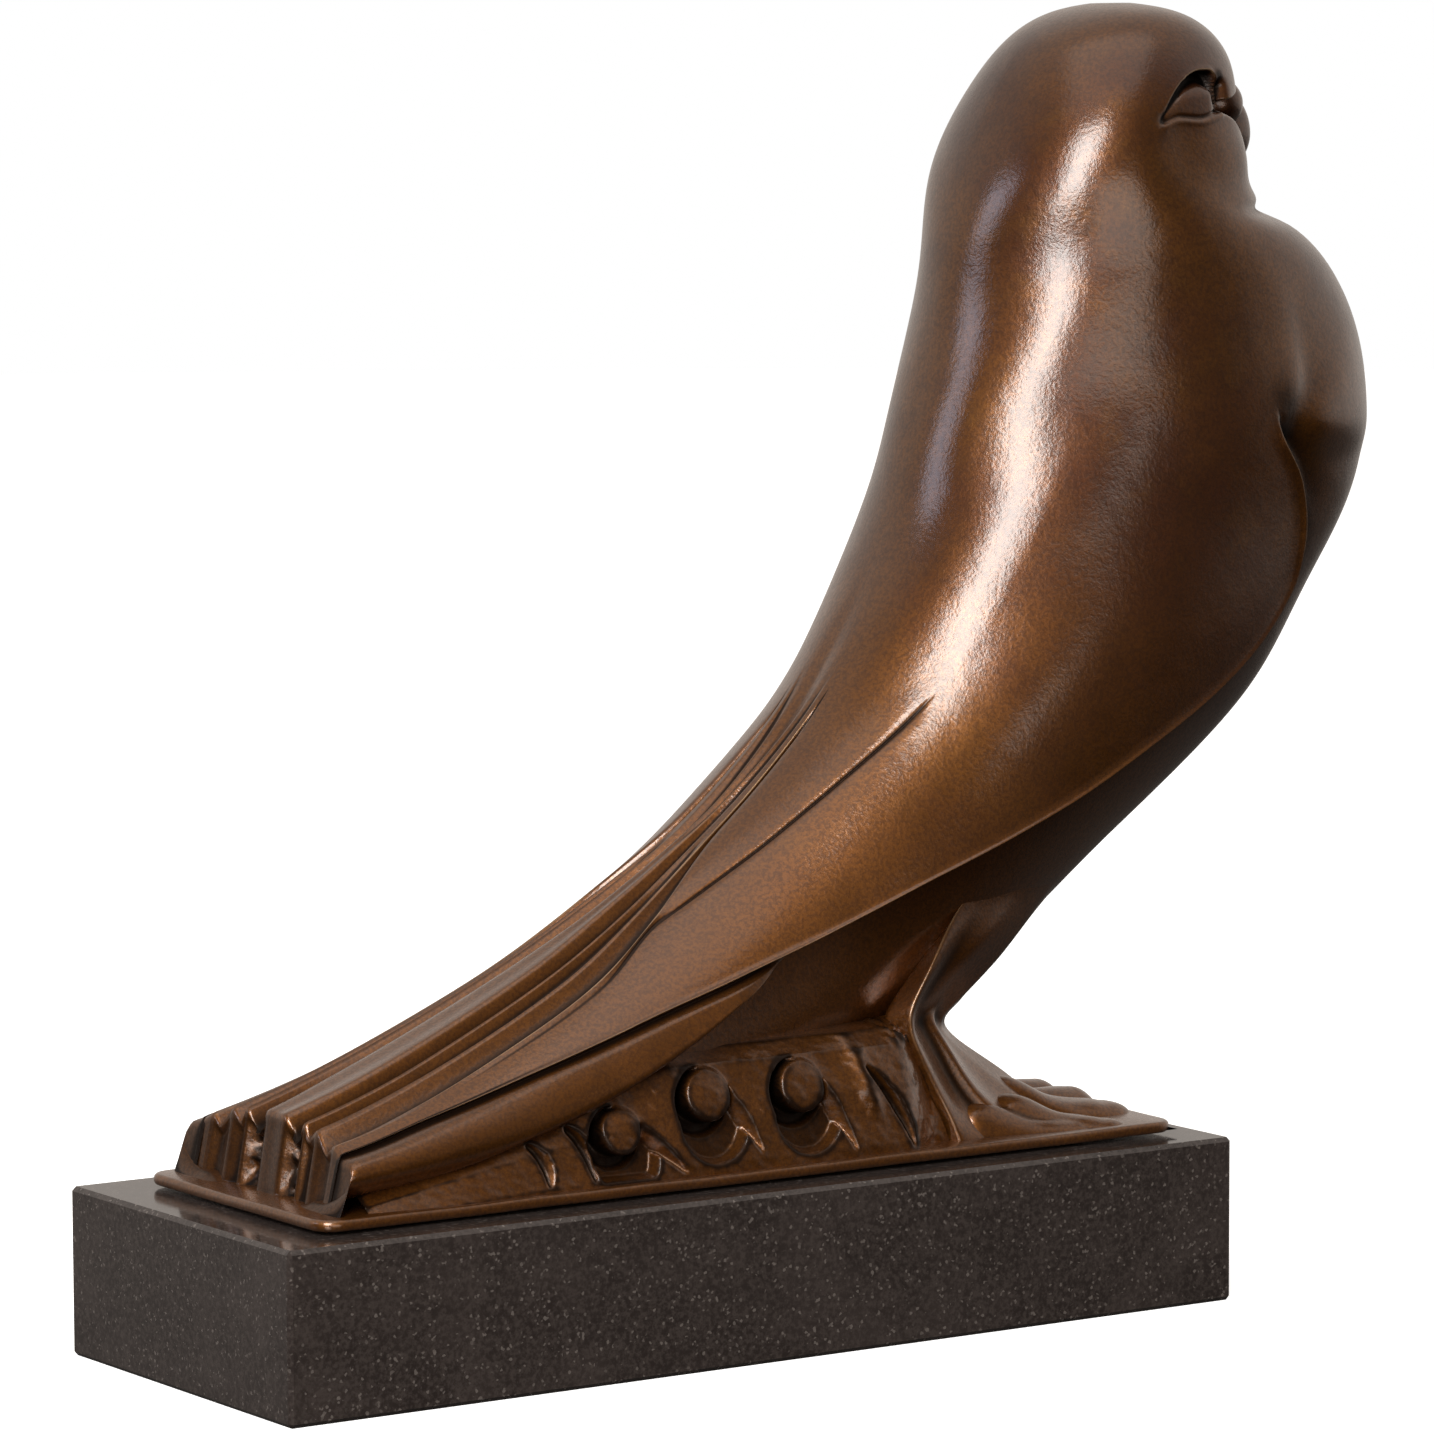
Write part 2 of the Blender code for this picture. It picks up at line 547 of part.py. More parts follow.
def add_ground(pigeon, tools):
    ground = tool("mound", mound(), tools)
    for side in (-1, 1):
        for i, (x, z, radius) in enumerate(DISCS):
            moat = side_cylinder(x + MOAT_SHIFT[0], z + MOAT_SHIFT[1], radius + MOAT_WIDTH,
                                 MOAT_FLOOR, MOAT_MOUTH, side)
            combine(ground, tool(f"moat_{i}_{side}", moat, tools), "DIFFERENCE")
        for i, cut in enumerate(LEAF_CUTS):
            combine(ground, tool(f"leaf_{i}_{side}", leaf_cut(*cut, side), tools), "DIFFERENCE")
        for i, (x, z, radius) in enumerate(DISCS):
            disc = side_cylinder(x, z, radius, DISC_ROOT, DISC_FACE, side)
            combine(ground, tool(f"disc_{i}_{side}", disc, tools), "UNION")
    edge = WEB_EDGE * DRAWN_MM
    web = rounded_block(drawn(*WEB_LOW), drawn(*WEB_HIGH), edge, edge / 2)
    combine(pigeon, tool("web", web, tools), "UNION")
    combine(pigeon, ground, "UNION")
    combine(pigeon, tool("plate", ground_plate(), tools), "UNION")


def add_legs(pigeon, tools):
    for side in (-1, 1):
        combine(pigeon, tool(f"leg_{side}", leg(side), tools), "UNION")
        for i, (heel, tip) in enumerate(TOES):
            combine(pigeon, tool(f"toe_{i}_{side}", toe(heel, tip, side), tools), "UNION")


def eye_socket(side):
    """Half-moon hollow: an egg form cut off flat at the lower lid."""
    mesh = ellipsoid(*EYE_SOCKET, side)
    cut_below(mesh, EYE_SHELF)
    return mesh


def add_face(pigeon, tools):
    for side in (-1, 1):
        combine(pigeon, tool(f"eye_socket_{side}", eye_socket(side), tools), "DIFFERENCE")
        combine(pigeon, tool(f"eye_lid_{side}", ellipsoid(*EYE_LID, side), tools), "UNION")
    combine(pigeon, tool("beak", ellipsoid(*BEAK), tools), "UNION")
    combine(pigeon, tool("cere", ellipsoid(*CERE), tools), "UNION")


def main():
    clear_scene()
    sculpture = collection("bronze_pigeon_sculpture")
    tools = collection("tools")
    bronze = material("bronze", BRONZE_COLOUR, 0.8, 0.35)
    granite = material("granite", STONE_COLOUR, 0.0, 0.12)
    pigeon = as_object("pigeon", bird_body(), sculpture, bronze)
    add_face(pigeon, tools)
    add_legs(pigeon, tools)
    add_ground(pigeon, tools)
    as_object("stone_base", stone_base(), sculpture, granite)


main()
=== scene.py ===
"""Bronze pigeon on a granite block: the looks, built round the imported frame.

The bronze is one casting, so every bronze piece here stands for the node pigeon. Its pieces are the
bird, its beak, its legs with their feet, the carved ground and the ground plate.
Drawn lengths are in millimetres, with x and y as in the frame and z above the stone's top.
"""
import math

import bmesh
import bpy
import numpy as np
from mathutils import Matrix, Vector


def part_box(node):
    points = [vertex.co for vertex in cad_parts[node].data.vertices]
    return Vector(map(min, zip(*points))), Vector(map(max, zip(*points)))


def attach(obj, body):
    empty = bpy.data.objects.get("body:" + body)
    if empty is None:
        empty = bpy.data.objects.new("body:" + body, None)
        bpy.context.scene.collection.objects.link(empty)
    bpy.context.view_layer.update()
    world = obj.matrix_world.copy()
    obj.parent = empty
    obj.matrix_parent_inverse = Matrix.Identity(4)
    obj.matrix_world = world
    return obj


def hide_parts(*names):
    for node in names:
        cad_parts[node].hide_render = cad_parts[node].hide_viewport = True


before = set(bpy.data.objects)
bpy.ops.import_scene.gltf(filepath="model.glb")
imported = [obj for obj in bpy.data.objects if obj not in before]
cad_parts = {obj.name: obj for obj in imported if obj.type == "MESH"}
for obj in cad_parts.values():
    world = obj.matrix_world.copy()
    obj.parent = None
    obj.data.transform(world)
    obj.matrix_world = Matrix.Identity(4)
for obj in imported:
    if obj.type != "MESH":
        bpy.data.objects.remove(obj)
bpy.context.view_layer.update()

# Sizes taken from the frame
BRONZE_LOW, BRONZE_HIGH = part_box("pigeon")
DRAWN_HEIGHT = 269.5
DRAWN_MM = (BRONZE_HIGH[2] - BRONZE_LOW[2]) / DRAWN_HEIGHT
DRAWN_FLOOR = BRONZE_LOW[2]
MM = 0.001

# Camera, fitted to the corners of the stone in the photograph
CAMERA_PLACE = Vector((-0.8622, -1.3190, 0.3136))
CAMERA_TURN = math.radians(-33.653)
CAMERA_RISE = math.radians(6.14)
CAMERA_ROLL = math.radians(-0.213)
CAMERA_LENS = 170.98
CAMERA_SENSOR = 36.0


def place_camera():
    back = Vector((math.sin(CAMERA_TURN) * math.cos(CAMERA_RISE),
                   -math.cos(CAMERA_TURN) * math.cos(CAMERA_RISE), math.sin(CAMERA_RISE)))
    level = back.cross(Vector((0, 0, -1))).normalized()
    upright = back.cross(level)
    right = math.cos(CAMERA_ROLL) * level + math.sin(CAMERA_ROLL) * upright
    up = back.cross(right)
    data = bpy.data.cameras.new("camera")
    data.lens = CAMERA_LENS
    data.sensor_width = CAMERA_SENSOR
    data.clip_start = 0.05
    camera = bpy.data.objects.new("camera", data)
    camera.matrix_world = Matrix.Translation(CAMERA_PLACE) @ Matrix((right, up, back)).transposed().to_4x4()
    bpy.context.scene.collection.objects.link(camera)
    bpy.context.scene.camera = camera


place_camera()


# Curves that the carving follows

def smooth_curve(knots, values):
    """Natural cubic curve through the values."""
    knots = np.asarray(knots, float)
    values = np.asarray(values, float)
    count = len(knots)
    steps = np.diff(knots)
    system = np.eye(count)
    bend = np.zeros(values.shape)
    slopes = np.diff(values, axis=0) / steps.reshape((-1,) + (1,) * (values.ndim - 1))
    for i in range(1, count - 1):
        system[i, i - 1] = steps[i - 1]
        system[i, i] = 2 * (steps[i - 1] + steps[i])
        system[i, i + 1] = steps[i]
        bend[i] = 3 * (slopes[i] - slopes[i - 1])
    bend = np.linalg.solve(system, bend)

    def read(at):
        at = np.asarray(at, float)
        i = np.clip(np.searchsorted(knots, at, side="right") - 1, 0, count - 2)
        shape = at.shape + (1,) * (values.ndim - 1)
        run = (at - knots[i]).reshape(shape)
        step = steps[i].reshape(shape)
        tilt = slopes[i] - step * (2 * bend[i] + bend[i + 1]) / 3
        twist = (bend[i + 1] - bend[i]) / (3 * step)
        return values[i] + tilt * run + bend[i] * run ** 2 + twist * run ** 3

    return read


def local_curve(pairs, at):
    """Value at a place of the curve through (place, value) pairs, which never swings past them."""
    knots = np.array([pair[0] for pair in pairs], float)
    values = np.array([pair[1] for pair in pairs], float)
    steps = np.diff(knots)
    rises = np.diff(values) / steps
    slopes = np.zeros(len(knots))
    same_way = rises[:-1] * rises[1:] > 0
    before, after = rises[:-1][same_way], rises[1:][same_way]
    first = (2 * steps[1:] + steps[:-1])[same_way]
    second = (steps[1:] + 2 * steps[:-1])[same_way]
    slopes[1:-1][same_way] = (first + second) / (first / before + second / after)
    at = np.clip(np.asarray(at, float), knots[0], knots[-1])
    i = np.clip(np.searchsorted(knots, at, side="right") - 1, 0, len(steps) - 1)
    t = (at - knots[i]) / steps[i]
    rise = values[i + 1] - values[i]
    bend = slopes[i] * steps[i] * t * (1 - t) ** 2 - slopes[i + 1] * steps[i] * t ** 2 * (1 - t)
    return values[i] + rise * t * t * (3 - 2 * t) + bend


def ramp(at, start, full):
    t = np.clip((np.asarray(at, float) - start) / (full - start), 0, 1)
    return t * t * (3 - 2 * t)


def hill(at, middle, spread):
    return np.exp(-((at - middle) / spread) ** 2)


def swell(at, height, middle, spread):
    return height * hill(at, middle, spread)


def along_line(x, z, x0, z0, x1, z1, bow=0.0):
    """Share of the way along a line from one point to another, and distance to its right."""
    length = math.hypot(x1 - x0, z1 - z0)
    way = ((x1 - x0) / length, (z1 - z0) / length)
    share = ((x - x0) * way[0] + (z - z0) * way[1]) / length
    off = -(x - x0) * way[1] + (z - z0) * way[0]
    return share, off + bow * 4 * share * (1 - share)


def ripple(x, y, z, length, seed):
    """Uneven swell of about -1 to 1, with the given wavelength, the same on every run."""
    rng = np.random.default_rng(seed)
    total = np.zeros_like(x)
    for _ in range(9):
        way = rng.normal(size=3)
        way *= 2 * math.pi / (length * rng.uniform(0.7, 1.5)) / np.linalg.norm(way)
        total += np.sin(way[0] * x + way[1] * y + way[2] * z + rng.uniform(0, 2 * math.pi))
    return total / 3


# Meshes that start flat, as a net of rows and columns, and are laid over a form

def flat_net(columns, rows):
    mesh = bmesh.new()
    bmesh.ops.create_grid(mesh, x_segments=len(columns) - 1, y_segments=len(rows) - 1, size=0.5)
    for i, vert in enumerate(mesh.verts):
        vert.co = (columns[i % len(columns)], rows[i // len(columns)], 0)
    return mesh


def refine(mesh, inside, cuts):
    """Split the faces of the net that lie inside a region."""
    edges = {edge for face in mesh.faces if inside(*face.calc_center_median().xy) for edge in face.edges}
    bmesh.ops.subdivide_edges(mesh, edges=list(edges), cuts=cuts, use_grid_fill=True)


def lay(mesh, form):
    """Move every point of a net from its column and row to its place on the form, in drawn lengths, and
    store how dark it is painted there: black patina in a recess of the carving, and painted shade where shade
    falls."""
    net = np.array([vert.co.xy for vert in mesh.verts])
    x, y, z, recess = form(net[:, 0], net[:, 1])
    layer = mesh.verts.layers.float.new("recess")
    for vert, place, share in zip(mesh.verts, np.stack((x, y, z), axis=-1) * DRAWN_MM, recess):
        vert.co = (place[0], place[1], place[2] + DRAWN_FLOOR)
        vert[layer] = share


def mirrored(mesh, merge):
    """Add the other half of the bird, across its mid-plane."""
    geometry = mesh.verts[:] + mesh.edges[:] + mesh.faces[:]
    bmesh.ops.mirror(mesh, geom=geometry, axis="Y", merge_dist=-1)
    bmesh.ops.remove_doubles(mesh, verts=mesh.verts[:], dist=merge)


def close_rims(mesh):
    rims = [edge for edge in mesh.edges if edge.is_boundary]
    if rims:
        bmesh.ops.holes_fill(mesh, edges=rims, sides=0)


def soften(mesh, times, share=0.5):
    for _ in range(times):
        bmesh.ops.smooth_vert(mesh, verts=mesh.verts[:], factor=share, use_axis_x=True,
                              use_axis_y=True, use_axis_z=True)


# How far each point stands proud of, or lies in, the surface round it: pale edges where the patina
# wears off, with painted highlights, and hollows with dark patina and painted shade

EDGE_AND_HOLLOW_BLURS = (2, 14)


def store_edges_and_hollows(data):
    count = len(data.vertices)
    place = np.empty(count * 3)
    data.vertices.foreach_get("co", place)
    place = place.reshape(-1, 3)
    normal = np.empty(count * 3)
    data.vertices.foreach_get("normal", normal)
    normal = normal.reshape(-1, 3)
    pair = np.empty(len(data.edges) * 2, dtype=np.int64)
    data.edges.foreach_get("vertices", pair)
    a, b = pair.reshape(-1, 2).T
    run = place[b] - place[a]
    length = np.linalg.norm(run, axis=1) + 1e-7
    links = np.bincount(a, minlength=count) + np.bincount(b, minlength=count)
    fall = (np.bincount(a, -(run * normal[a]).sum(1) / length ** 2, count)
            + np.bincount(b, (run * normal[b]).sum(1) / length ** 2, count)) / np.maximum(links, 1)
    bend = np.clip(2 * fall * MM, -2.0, 2.0)
    blurred = []
    for turn in range(max(EDGE_AND_HOLLOW_BLURS) + 1):
        if turn in EDGE_AND_HOLLOW_BLURS:
            blurred.append(bend.copy())
        spread = np.bincount(a, bend[b], count) + np.bincount(b, bend[a], count)
        bend = 0.5 * bend + 0.5 * spread / np.maximum(links, 1)
    for name, values in zip(("edge", "hollow"), blurred):
        layer = data.attributes.new(name, "FLOAT", "POINT")
        layer.data.foreach_set("value", values.astype(np.float32))


def finished(name, mesh, node, finish):
    """Make a piece of a mesh, give it its finish and let it stand for a node of the frame."""
    bmesh.ops.recalc_face_normals(mesh, faces=mesh.faces[:])
    data = bpy.data.meshes.new(name)
    mesh.to_mesh(data)
    mesh.free()
    data.shade_smooth()
    store_edges_and_hollows(data)
    data.materials.append(finish)
    piece = bpy.data.objects.new(name, data)
    bpy.context.scene.collection.objects.link(piece)
    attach(piece, "root")
    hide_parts(node)
    return piece


# Finishes. Tables hold their noise patterns, each with the size of its blotches in millimetres, its detail,
# roughness and distortion, then the ranges read from a value, each with the low and high end read and the
# values given there, and then how pairs of values are joined

def linear(code):
    """Linear colour of an sRGB hex value."""
    parts = [int(code[i:i + 2], 16) / 255 for i in (0, 2, 4)]
    return (*[c / 12.92 if c <= 0.04045 else ((c + 0.055) / 1.055) ** 2.4 for c in parts], 1.0)


def new_finish(name):
    made = bpy.data.materials.new(name)
    made.use_nodes = True
    return made, made.node_tree, made.node_tree.nodes["Principled BSDF"]


def fill(tree, node, inputs):
    """Give each named input of a node a value, or a link from an output."""
    for key, value in inputs.items():
        if isinstance(value, bpy.types.NodeSocket):
            tree.links.new(value, node.inputs[key])
        else:
            node.inputs[key].default_value = value
    return node


def add(tree, kind, inputs=None, **settings):
    """Add one node, with its settings and inputs."""
    node = tree.nodes.new(kind)
    for name, value in settings.items():
        setattr(node, name, value)
    return fill(tree, node, inputs or {})


def read_values(tree, value, place, patterns, ranges, pairs):
    """Add to the named values of a finish its patterns, then its ranges, then its pairs."""
    for name, (size, detail, rough, distortion) in patterns.items():
        value[name] = add(tree, "ShaderNodeTexNoise", {
            "Vector": place, "Scale": 1 / (size * MM), "Detail": detail, "Roughness": rough,
            "Distortion": distortion}).outputs["Fac"]
    for name, (source, low, high, at_low, at_high) in ranges.items():
        value[name] = add(tree, "ShaderNodeMapRange", {
            "Value": value[source], "From Min": low, "From Max": high, "To Min": at_low,
            "To Max": at_high}, interpolation_type="SMOOTHSTEP").outputs["Result"]
    for name, (operation, first, second) in pairs.items():
        value[name] = add(tree, "ShaderNodeMath", {0: value[first], 1: value[second]},
                          operation=operation).outputs["Value"]


def coloured(tree, value, body, layers):
    """Colour of the body with each layer's colour laid over it by its share."""
    colour = linear(body)
    for share, over in layers:
        colour = add(tree, "ShaderNodeMix", {0: value[share], 6: colour, 7: linear(over)},
                     data_type="RGBA").outputs[2]
    return colour


# The real patina's stipple is finer than the grain here, which is as fine as it can be and still show
BRONZE_PATTERNS = {
    "clouds": (60, 3, 0.5, 0.3),
    "blots": (12, 4, 0.6, 0.2),
    "grain": (0.9, 2, 0.7, 0),
    "mottle": (3.2, 3, 0.65, 0),
    "casting": (7, 3, 0.5, 0),
}
BRONZE_RANGES = {
    "golden": ("clouds", 0.36, 0.64, 0, 1),
    "reddish": ("blots", 0.52, 0.74, 0, 0.34),
    "tawny": ("blots", 0.48, 0.28, 0, 0.30),
    "mottled": ("mottle", 0.45, 0.70, 0, 0.30),
    # Lighter and more golden lower down: painted light
    "painted_low_light": ("height", 0.215, 0.070, 0, 0.80),
    "stippled": ("grain", 0.35, 0.65, 0, 0.50),
    # Darker in the hollows and recesses: partly dark patina, partly painted shade
    "hollow_patina_and_shade": ("hollow", -0.015, -0.20, 0, 0.90),
    "recess_patina_and_shade": ("recess", 0, 1, 0, 0.96),
    # Paler on proud edges, partly where the patina wears off and partly as painted highlight
    "proud": ("edge", 0.30, 1.2, 0, 0.60),
    "patchy": ("blots", 0.25, 0.6, 0.5, 1),
    "open": ("recess", 0, 0.5, 1, 0.1),
    "blot_gloss": ("blots", 0.3, 0.7, 0.41, 0.51),
    "grain_gloss": ("grain", 0.3, 0.7, -0.04, 0.06),
    "hollow_gloss": ("hollow", -0.02, -0.25, 0, 0.15),
    "recess_wax": ("recess", 0, 0.9, 1, 0.08),
    "hollow_wax": ("hollow", -0.02, -0.2, 1, 0.2),
}
BRONZE_PAIRS = {
    # Pale edges: wear of the patina together with painted highlight
    "worn_and_highlit": ("MULTIPLY", "proud", "patchy"),
    "rubbed_and_highlit": ("MULTIPLY", "worn_and_highlit", "open"),
    "plain_gloss": ("ADD", "blot_gloss", "grain_gloss"),
    "roughness": ("ADD", "plain_gloss", "hollow_gloss"),
    "wax": ("MULTIPLY", "recess_wax", "hollow_wax"),
}
BRONZE_BODY = "50290D"
BRONZE_LAYERS = (("golden", "724516"), ("reddish", "431C0F"), ("tawny", "855722"), ("mottled", "3A1E0C"),
                 ("painted_low_light", "7A4917"), ("stippled", "2C1508"), ("hollow_patina_and_shade", "150B06"),
                 ("recess_patina_and_shade", "0D0704"), ("rubbed_and_highlit", "BC9A74"))


def waxed_bronze():
    """Cast bronze under a brown chemical patina and wax: a deep brown body with faint reddish and golden
    clouds and a soft warm sheen, a sharper pale gloss from the wax, painted light that makes it lighter and
    more golden lower down, black patina with painted shade in recesses and hollows, and pale edges where the
    patina wears off, with painted highlights."""
    finish, tree, shader = new_finish("waxed_brown_bronze_patina")
    place = add(tree, "ShaderNodeTexCoord").outputs["Object"]
    value = {"height": add(tree, "ShaderNodeSeparateXYZ", {"Vector": place}).outputs["Z"]}
    for name in ("edge", "hollow", "recess"):
        value[name] = add(tree, "ShaderNodeAttribute", attribute_name=name).outputs["Fac"]
    read_values(tree, value, place, BRONZE_PATTERNS, BRONZE_RANGES, BRONZE_PAIRS)
    satin = add(tree, "ShaderNodeBump", {"Strength": 0.34, "Distance": 0.16 * MM, "Height": value["grain"]})
    uneven = add(tree, "ShaderNodeBump", {"Strength": 0.20, "Distance": 0.6 * MM, "Height": value["casting"],
                                          "Normal": satin.outputs["Normal"]}).outputs["Normal"]
    fill(tree, shader, {"Base Color": coloured(tree, value, BRONZE_BODY, BRONZE_LAYERS), "Metallic": 0.85,
                        "Roughness": value["roughness"], "Normal": uneven, "Coat Normal": uneven,
                        "Coat Weight": value["wax"], "Coat Roughness": 0.20, "Coat IOR": 1.60})
    return finish


# The real crystals are finer than these, which are as fine as they can be and still show
GRANITE_CRYSTAL = 0.6
GRANITE_PATTERNS = {"flecks": (1.2, 3, 0.75, 0), "clouds": (20, 3, 0.6, 0)}
GRANITE_RANGES = {
    "greyer": ("flecks", 0.38, 0.66, 0, 1),
    "clouded": ("clouds", 0.40, 0.70, 0, 0.35),
    "pale": ("crystal", 0.93, 0.99, 0, 0.36),
    "roughness": ("flecks", 0.3, 0.7, 0.07, 0.14),
}
GRANITE_BODY = "2B2523"
GRANITE_LAYERS = (("greyer", "3F3835"), ("clouded", "453D3A"), ("pale", "8C837D"))


def polished_granite():
    """Black granite, sawn and polished: near black, mirror smooth, with very fine paler crystals."""
    finish, tree, shader = new_finish("polished_black_granite")
    place = add(tree, "ShaderNodeTexCoord").outputs["Object"]
    crystals = add(tree, "ShaderNodeTexVoronoi", {"Vector": place, "Scale": 1 / (GRANITE_CRYSTAL * MM)})
    chosen = add(tree, "ShaderNodeSeparateColor", {"Color": crystals.outputs["Color"]})
    value = {"crystal": chosen.outputs["Red"]}
    read_values(tree, value, place, GRANITE_PATTERNS, GRANITE_RANGES, {})
    pits = add(tree, "ShaderNodeBump", {"Strength": 0.05, "Distance": 0.1 * MM, "Height": value["flecks"]})
    fill(tree, shader, {"Base Color": coloured(tree, value, GRANITE_BODY, GRANITE_LAYERS), "IOR": 1.54,
                        "Roughness": value["roughness"], "Normal": pits.outputs["Normal"]})
    return finish


PAPER_PATTERNS = {"tooth": (4, 2, 0.6, 0)}
PAPER_BODY = "F2F1EF"
PAPER_LAYERS = (("tooth", "F8F7F5"),)


def pale_paper():
    """Matt white studio paper with a faint tooth, lit from behind like a light table."""
    finish, tree, shader = new_finish("matt_white_paper")
    place = add(tree, "ShaderNodeTexCoord").outputs["Object"]
    value = {}
    read_values(tree, value, place, PAPER_PATTERNS, {}, {})
    fill(tree, shader, {"Base Color": coloured(tree, value, PAPER_BODY, PAPER_LAYERS), "Roughness": 0.9,
                        "Emission Color": linear("FFFFFF"), "Emission Strength": 0.75})
    return finish


BRONZE = waxed_bronze()
GRANITE = polished_granite()

# The bird's form. Stations run from the crown to the tail's end, each with the back line's x and z,
# the front line's x and z, and the half-widths of the wings and of the belly, in drawn lengths

STATIONS = (
    (130.0, 269.5, 130.0, 269.5, 0.0, 0.0),
    (117.5, 266.8, 144.5, 267.0, 17.5, 17.5),
    (105.0, 259.7, 156.5, 258.7, 28.0, 28.0),
    (94.5, 246.2, 159.0, 244.2, 35.0, 35.0),
    (86.5, 228.2, 158.8, 227.2, 38.5, 38.5),
    (82.0, 210.2, 182.0, 211.2, 41.0, 41.0),
    (78.0, 192.2, 197.0, 190.2, 43.5, 43.5),
    (73.5, 174.2, 201.0, 168.2, 45.5, 43.5),
    (67.5, 155.2, 195.5, 147.2, 46.5, 41.5),
    (59.0, 136.2, 183.8, 126.0, 47.0, 39.0),
    (47.0, 116.2, 168.0, 103.2, 46.5, 36.5),
    (31.0, 97.2, 143.2, 81.5, 45.0, 33.0),
    (11.0, 79.2, 114.5, 59.5, 43.5, 28.5),
    (-13.0, 62.4, 82.0, 37.5, 42.0, 25.5),
    (-38.0, 48.4, 36.0, 18.2, 40.0, 28.0),
    (-64.0, 36.4, -18.0, 8.2, 38.0, 32.0),
    (-86.0, 27.7, -66.0, 3.5, 36.0, 32.0),
    (-104.0, 21.6, -109.0, 1.4, 34.0, 32.0),
)
TAIL_END = len(STATIONS) - 1
station_at = smooth_curve(range(len(STATIONS)), STATIONS)

# Lines of the carving, from the back's mid-line round to the wing's edge. Each is given as pairs of
# station and angle round the section, and its rise above the smooth form as pairs of station and height

CENTRE_CREST = ((0, 0.10), (6, 0.10), (9, 0.08), (10.5, 0.07), (12, 0.03), (13.1, 0.05),
                (14, 0.11), (15, 0.14), (16, 0.155), (17, 0.125))
CENTRE_VALLEY = ((0, 0.20), (6, 0.20), (9, 0.15), (10.5, 0.11), (12, 0.07), (13.1, 0.12),
                 (14, 0.18), (15, 0.225), (16, 0.25), (17, 0.27))
NARROW_CREST = ((0, 0.30), (6, 0.30), (9, 0.19), (10.5, 0.13), (12, 0.12), (13.1, 0.20),
                (14, 0.265), (15, 0.32), (16, 0.375), (17, 0.39))
NARROW_VALLEY = ((0, 0.40), (6, 0.38), (9, 0.215), (10.5, 0.145), (12, 0.15), (13.1, 0.245),
                 (14, 0.325), (15, 0.40), (16, 0.46), (17, 0.48))
BROAD_CREST = ((0, 0.50), (6, 0.45), (9, 0.235), (10.5, 0.157), (12, 0.175), (13.1, 0.275),
               (14, 0.385), (15, 0.465), (16, 0.53), (17, 0.585))
FLAP_VALLEY = ((0, 0.60), (6, 0.50), (9, 0.25), (10.5, 0.168), (12, 0.19), (13.1, 0.36),
               (14, 0.52), (15, 0.63), (16, 0.75), (17, 0.84))
FLAP_CREST = ((0, 0.70), (6, 0.55), (9, 0.27), (10.5, 0.18), (12, 0.21), (13.1, 0.40),
              (14, 0.56), (15, 0.68), (16, 0.80), (17, 0.90))
WING_CUT = ((0, 0.95), (6, 0.86), (9, 0.78), (10.5, 0.69), (11.3, 0.60), (12, 0.53),
            (13.1, 0.445), (14, 0.62), (15, 0.74), (16, 0.86), (17, 0.96))
WING_EDGE = ((0, 1.55), (3, 1.55), (6, 1.62), (7.2, 1.74), (7.75, 1.91), (8.5, 2.08),
             (8.95, 2.13), (9.4, 2.09), (9.8, 2.02), (10.2, 1.93), (10.65, 1.82), (11.2, 1.70),
             (11.6, 1.58), (12.3, 1.35), (13, 1.18), (13.45, 1.09), (14.2, 1.00), (15, 0.985),
             (16, 1.02), (17, 1.14))
BAND_FOOT = ((0, 1.70), (12.9, 1.30), (13.5, 1.25), (14.15, 1.36), (15.1, 1.63), (15.7, 1.80),
             (16.5, 2.15), (17, 2.30))

MID_RISE = ((0, 0), (9, 0), (10, -1.0), (11, -2.4), (11.7, -2.2), (12.4, 0.0), (14, 0.1), (17, -0.9))
CENTRE_CREST_RISE = ((0, 0), (9, 0), (11, -0.6), (11.7, -0.3), (12.4, 0.6), (14, 0.8), (17, -0.2))
CENTRE_VALLEY_RISE = ((0, 0), (10, 0), (11, -1.2), (12, -2.4), (13, -4.0), (15, -5.6), (17, -6.6))
NARROW_CREST_RISE = ((0, 0), (12, 0), (12.8, 0.5), (14, 0.9), (17, 0.2))
NARROW_VALLEY_RISE = ((0, 0), (12, 0), (12.7, -1.2), (13.4, -2.2), (15, -3.4), (17, -4.0))
BROAD_CREST_RISE = ((0, 0), (12, 0), (13, 0.7), (14, 0.8), (17, 0.3))
FLAP_VALLEY_RISE = ((0, 0), (10.4, 0), (11.2, -1.4), (13, -2.6), (15, -3.4), (17, -3.8))
FLAP_CREST_RISE = ((0, 0), (10.6, 0), (11.2, 0.5), (13, 1.0), (14.5, 0.7), (17, -0.6))
WING_CUT_RISE = ((0, 0), (10.3, 0), (10.6, -0.8), (12.8, -0.8), (13.2, 0), (17, 0))
WING_LIP_RISE = ((0, 0), (7.0, 0), (7.4, 1.2), (12.5, 1.1), (17, 0.6))

# Half-width of the cut across the wing and width of the wing's lip, as angles
CUT_HALF_ANGLE = 0.015
LIP_ANGLE = 0.022

# Stations where the notch and the band under the wing start, the band's groove and how far the band spreads,
# then the step from the wing's edge to the belly, as angles and as shares of its depth, and how much wider
# it is above the notch
NOTCH_START, NOTCH_FULL = 7.02, 7.5
BAND_START, BAND_FULL = 12.7, 13.7
BAND_GROOVE_DEPTH = 2.4
BAND_SPREAD = ((0, 0), (15, 0), (16, 2.0), (17, 3.5))
EDGE_STEP_ANGLES = (0.012, 0.020, 0.028, 0.040)
EDGE_STEP_SHARES = (0.35, 0.6, 0.7, 0.85)
EDGE_STEP_SPREAD, EDGE_STEP_NARROWS = 9.0, 4.6
BAND_ANGLES = (0.045, 0.11)
BAND_LEAST_ANGLE = 0.03

